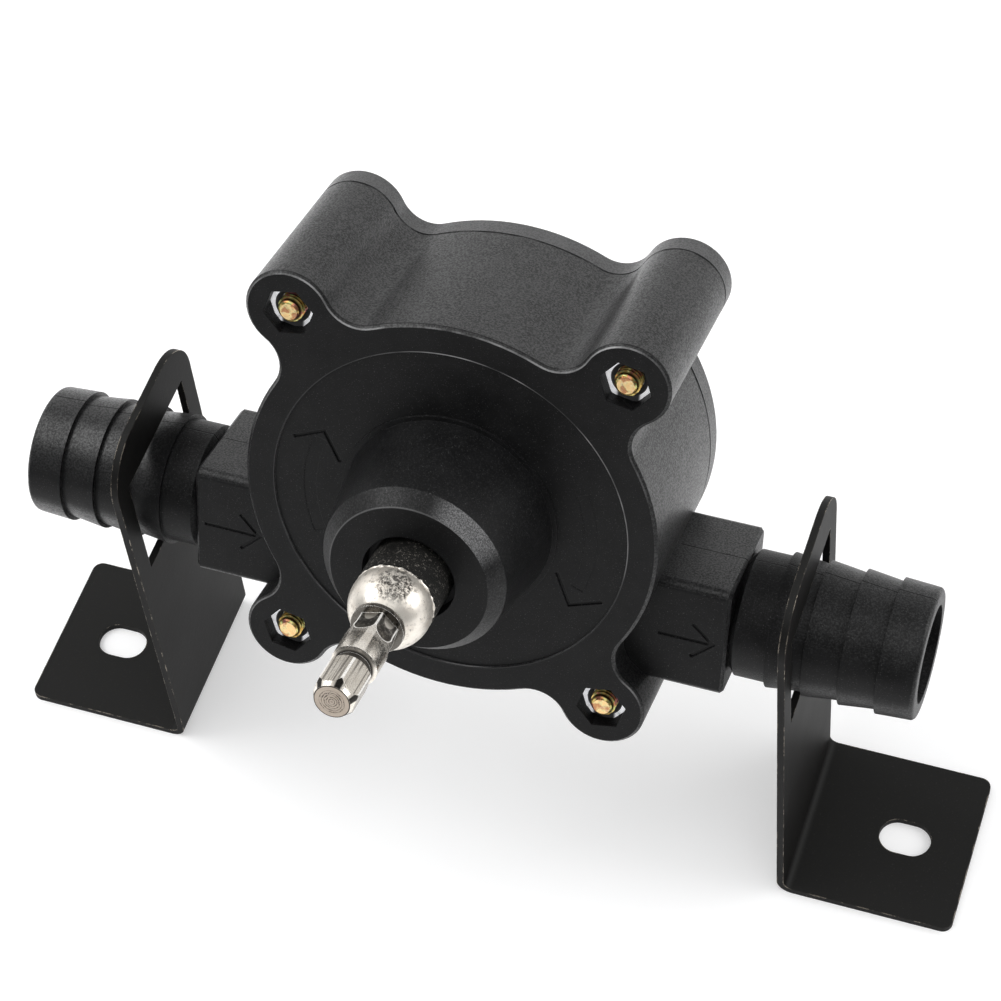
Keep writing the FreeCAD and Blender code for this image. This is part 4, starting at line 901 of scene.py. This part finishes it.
# Hexagon nut: the radius is half the flats over the cosine of the turn from the nearest flat; past the
# cone's radius the corners fall away, and the hole widens to a countersunk mouth
def nutForm():
    angle = fullTurn(nut["columns"])
    sixth = math.pi / 3
    side = nut["flats"] / 2 / np.cos((angle - math.radians(nut["turn"])) % sixth - sixth / 2)
    top = np.minimum(side, nut["cone"])
    drop = (side - top) * math.tan(math.radians(nut["coneFall"]))
    front, back = nut["front"], nut["front"] - nut["thickness"]
    even = angle * 0 + 1
    mouth, hole = even * nut["mouth"], even * nut["hole"]
    radii = np.array([side, side, (side + top) / 2, top, mouth, hole, hole])
    levels = np.array([even * back, front - drop, front - drop / 2, even * front,
                       even * front, even * (front - nut["mouthDepth"]), even * back])
    return ringPoints(radii, levels), gridFaces(len(radii), nut["columns"], looped=True)


# A form at each of the four lugs, in the shared frame
def atLugs(form):
    points, faces = form
    placed, allFaces = joined([(points + np.array([x, y, 0]), faces) for x, y in lugCentres])
    return toWorld(placed), allFaces


# One line of a cross recess in the back of each screw head
def recess(across, upright):
    back, span = screw["headFront"] - screw["headHeight"], screw["recessSpan"] / 2
    bottom, top = back - screw["recessClear"], back + screw["recessDepth"]
    return [([(x - across * span, y - upright * span), (x + across * span, y + upright * span)],
             screw["recessWidth"], bottom, top) for x, y in lugCentres]


screws = newPiece("coverScrewSet", *atLugs(screwForm()), finishes["yellow_zinc"], None)
cutGrooves(screws, "recessAcross", recess(1, 0))
cutGrooves(screws, "recessUpright", recess(0, 1))
finishPiece(screws, None, "housing", screw["smoothTo"])
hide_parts("cover_screws")
print("screws:", len(screws.data.polygons), "faces")

nuts = newPiece("lugNutSet", *atLugs(nutForm()), finishes["nut_zinc"], "housing", "zinc_steel")
mendMesh(nuts.data, weld=1e-7, outwards=True)
smoothen(nuts.data, nut["smoothTo"])
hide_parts("lug_nuts")
print("nuts:", len(nuts.data.polygons), "faces")

skinOf("drive_shaft", "hexShaft", finishes["nickel_steel"], "rotor", 25)
skinOf("shaft_sleeve", "mouthSleeve", finishes["dark_steel"], "rotor", 30)
for side in ("left", "right"):
    skinOf(side + "_bracket", side + "Bracket", finishes["black_paint"], side + "_support", 30)
print("shaft, sleeve and brackets skinned")

burr = {
    "inner": 6.1, "outer": 6.42, "back": 23.82, "front": 24.3,  # mm
    "ragged": 0.2, "lip": 0.05, "thickness": 0.2, "lifted": 0.12,
    "waves": [(0.7, 7, 1, 17), (0.3, 41, 0, 5)],  # share, first count, its start, second count
    "even": 0.6, "uneven": 0.4, "thickest": 0.6,  # the burr is heavier on one side, at this angle
    "columns": 180, "smoothTo": 40,
}


# Ragged lip round the ball's root: the outer radius and the front level waver by products of sines
def burrForm():
    angle = fullTurn(burr["columns"])
    waver = sum(share * np.sin(first * angle + start) * np.sin(second * angle)
                for share, first, start, second in burr["waves"])
    waver = waver * (burr["even"] + burr["uneven"] * np.cos(angle - burr["thickest"]))
    reach = burr["outer"] + burr["ragged"] * waver
    inner, back = angle * 0 + burr["inner"], angle * 0 + burr["back"]
    radii = np.array([inner, reach, reach - burr["lip"], inner])
    lip = back + burr["thickness"] + burr["lifted"] * waver
    levels = np.array([back, back, lip, angle * 0 + burr["front"]])
    return toWorld(ringPoints(radii, levels)), gridFaces(len(radii), burr["columns"], looped=True)


newPiece("ballBurr", *burrForm(), finishes["nickel_steel"], "rotor", "nickel_steel", burr["smoothTo"])
print("burr round the ball's root")


stage = {
    "floor": (-0.6, 0.6, -0.6, 0.7),  # m, the white sheet that the pump stands on
    "floorTone": 0.8, "floorLift": 0.3,  # its own colour, and what lifts it to white for the eye
    "ambient": 0.66,
    "horizon": 1.0, "overhead": 0.4, "below": 0.06, "front": 0.1,  # the room as seen in reflections
    "behind": (-0.25, 0.3), "rising": (-0.12, 0.0), "dimming": (0.3, 0.85),  # parts of a direction
    "lamps": {  # power in W, place in m, width and height in m
        "leftPanel": (9.0, (-0.96, -0.02, 1.14), (1.0, 0.8)),
        "rightPanel": (7.0, (1.16, 0.4, 0.78), (0.9, 0.8)),
        "topPanel": (3.5, (0.0, -0.45, 1.3), (1.3, 0.9)),
    },
}
west, east, south, north = stage["floor"]
floor = newPiece("paleFloor", [(west, south, 0), (east, south, 0), (east, north, 0), (west, north, 0)],
                 [[0, 1, 2, 3]], None, None)
floorPaint = Paint(bpy.data.materials.new("paleFloorPaint"))
toEye, mirrored = floorPaint.rays()
tone = stage["floorTone"]
floor.data.materials.append(floorPaint.set(
    Base_Color=(tone, tone, tone * 1.005), Roughness=0.95, Specular_IOR_Level=0.1, Emission_Strength=1.0,
    Emission_Color=floorPaint.mix((toEye + mirrored).clipped(), (0, 0, 0), (stage["floorLift"],) * 3)))

for name, (power, place, size) in stage["lamps"].items():
    lamp = bpy.data.lights.new(name, "AREA")
    lamp.shape, lamp.size, lamp.size_y, lamp.energy = "RECTANGLE", size[0], size[1], power
    light = addObject(name, lamp)
    light.location = place
    light.rotation_euler = Vector(np.array(place) - plateCentre).to_track_quat("Z", "Y").to_euler()


# The room: a plain level for soft light, white to the eye, and in reflections white behind the pump,
# greyer overhead, dark in front of it and below the edge of the sheet
def studioWorld():
    room = Paint(bpy.data.worlds.new("studioWorld"))
    toEye, mirrored = room.rays()
    inward, height = room.split(room.make("ShaderNodeTexCoord", out="Generated"))[1:]
    behind = inward.rise(*stage["behind"])
    inRoom = height.rise(*stage["rising"]) * (stage["horizon"] - stage["below"]) + stage["below"]
    inRoom = inRoom - height.rise(*stage["dimming"]) * (stage["horizon"] - stage["overhead"])
    inRoom = inRoom * behind + (1 - behind) * stage["front"]
    unseen = (1 - mirrored) * (1 - toEye)
    return room.set(Color=(1, 1, 1), Strength=unseen * stage["ambient"] + mirrored * inRoom + toEye)


bpy.context.scene.world = studioWorld()

view = {
    "sensor": 36, "lens": 112.2696,  # mm
    "place": (0.124745, -0.267305, 0.473226),
    "turn": (36.045773, 4.096014, 18.675980),  # degrees
    "shift": (0.006044, 0.003107),
    "nearest": 0.01,  # m
}
eye = bpy.data.cameras.new("photoCamera")
eye.sensor_width, eye.lens, eye.clip_start = view["sensor"], view["lens"], view["nearest"]
eye.shift_x, eye.shift_y = view["shift"]
camera = addObject("photoCamera", eye)
camera.location = view["place"]
camera.rotation_euler = np.radians(view["turn"])
bpy.context.scene.camera = camera
bpy.context.scene.view_settings.view_transform = "Standard"
print("floor, lights and camera set")
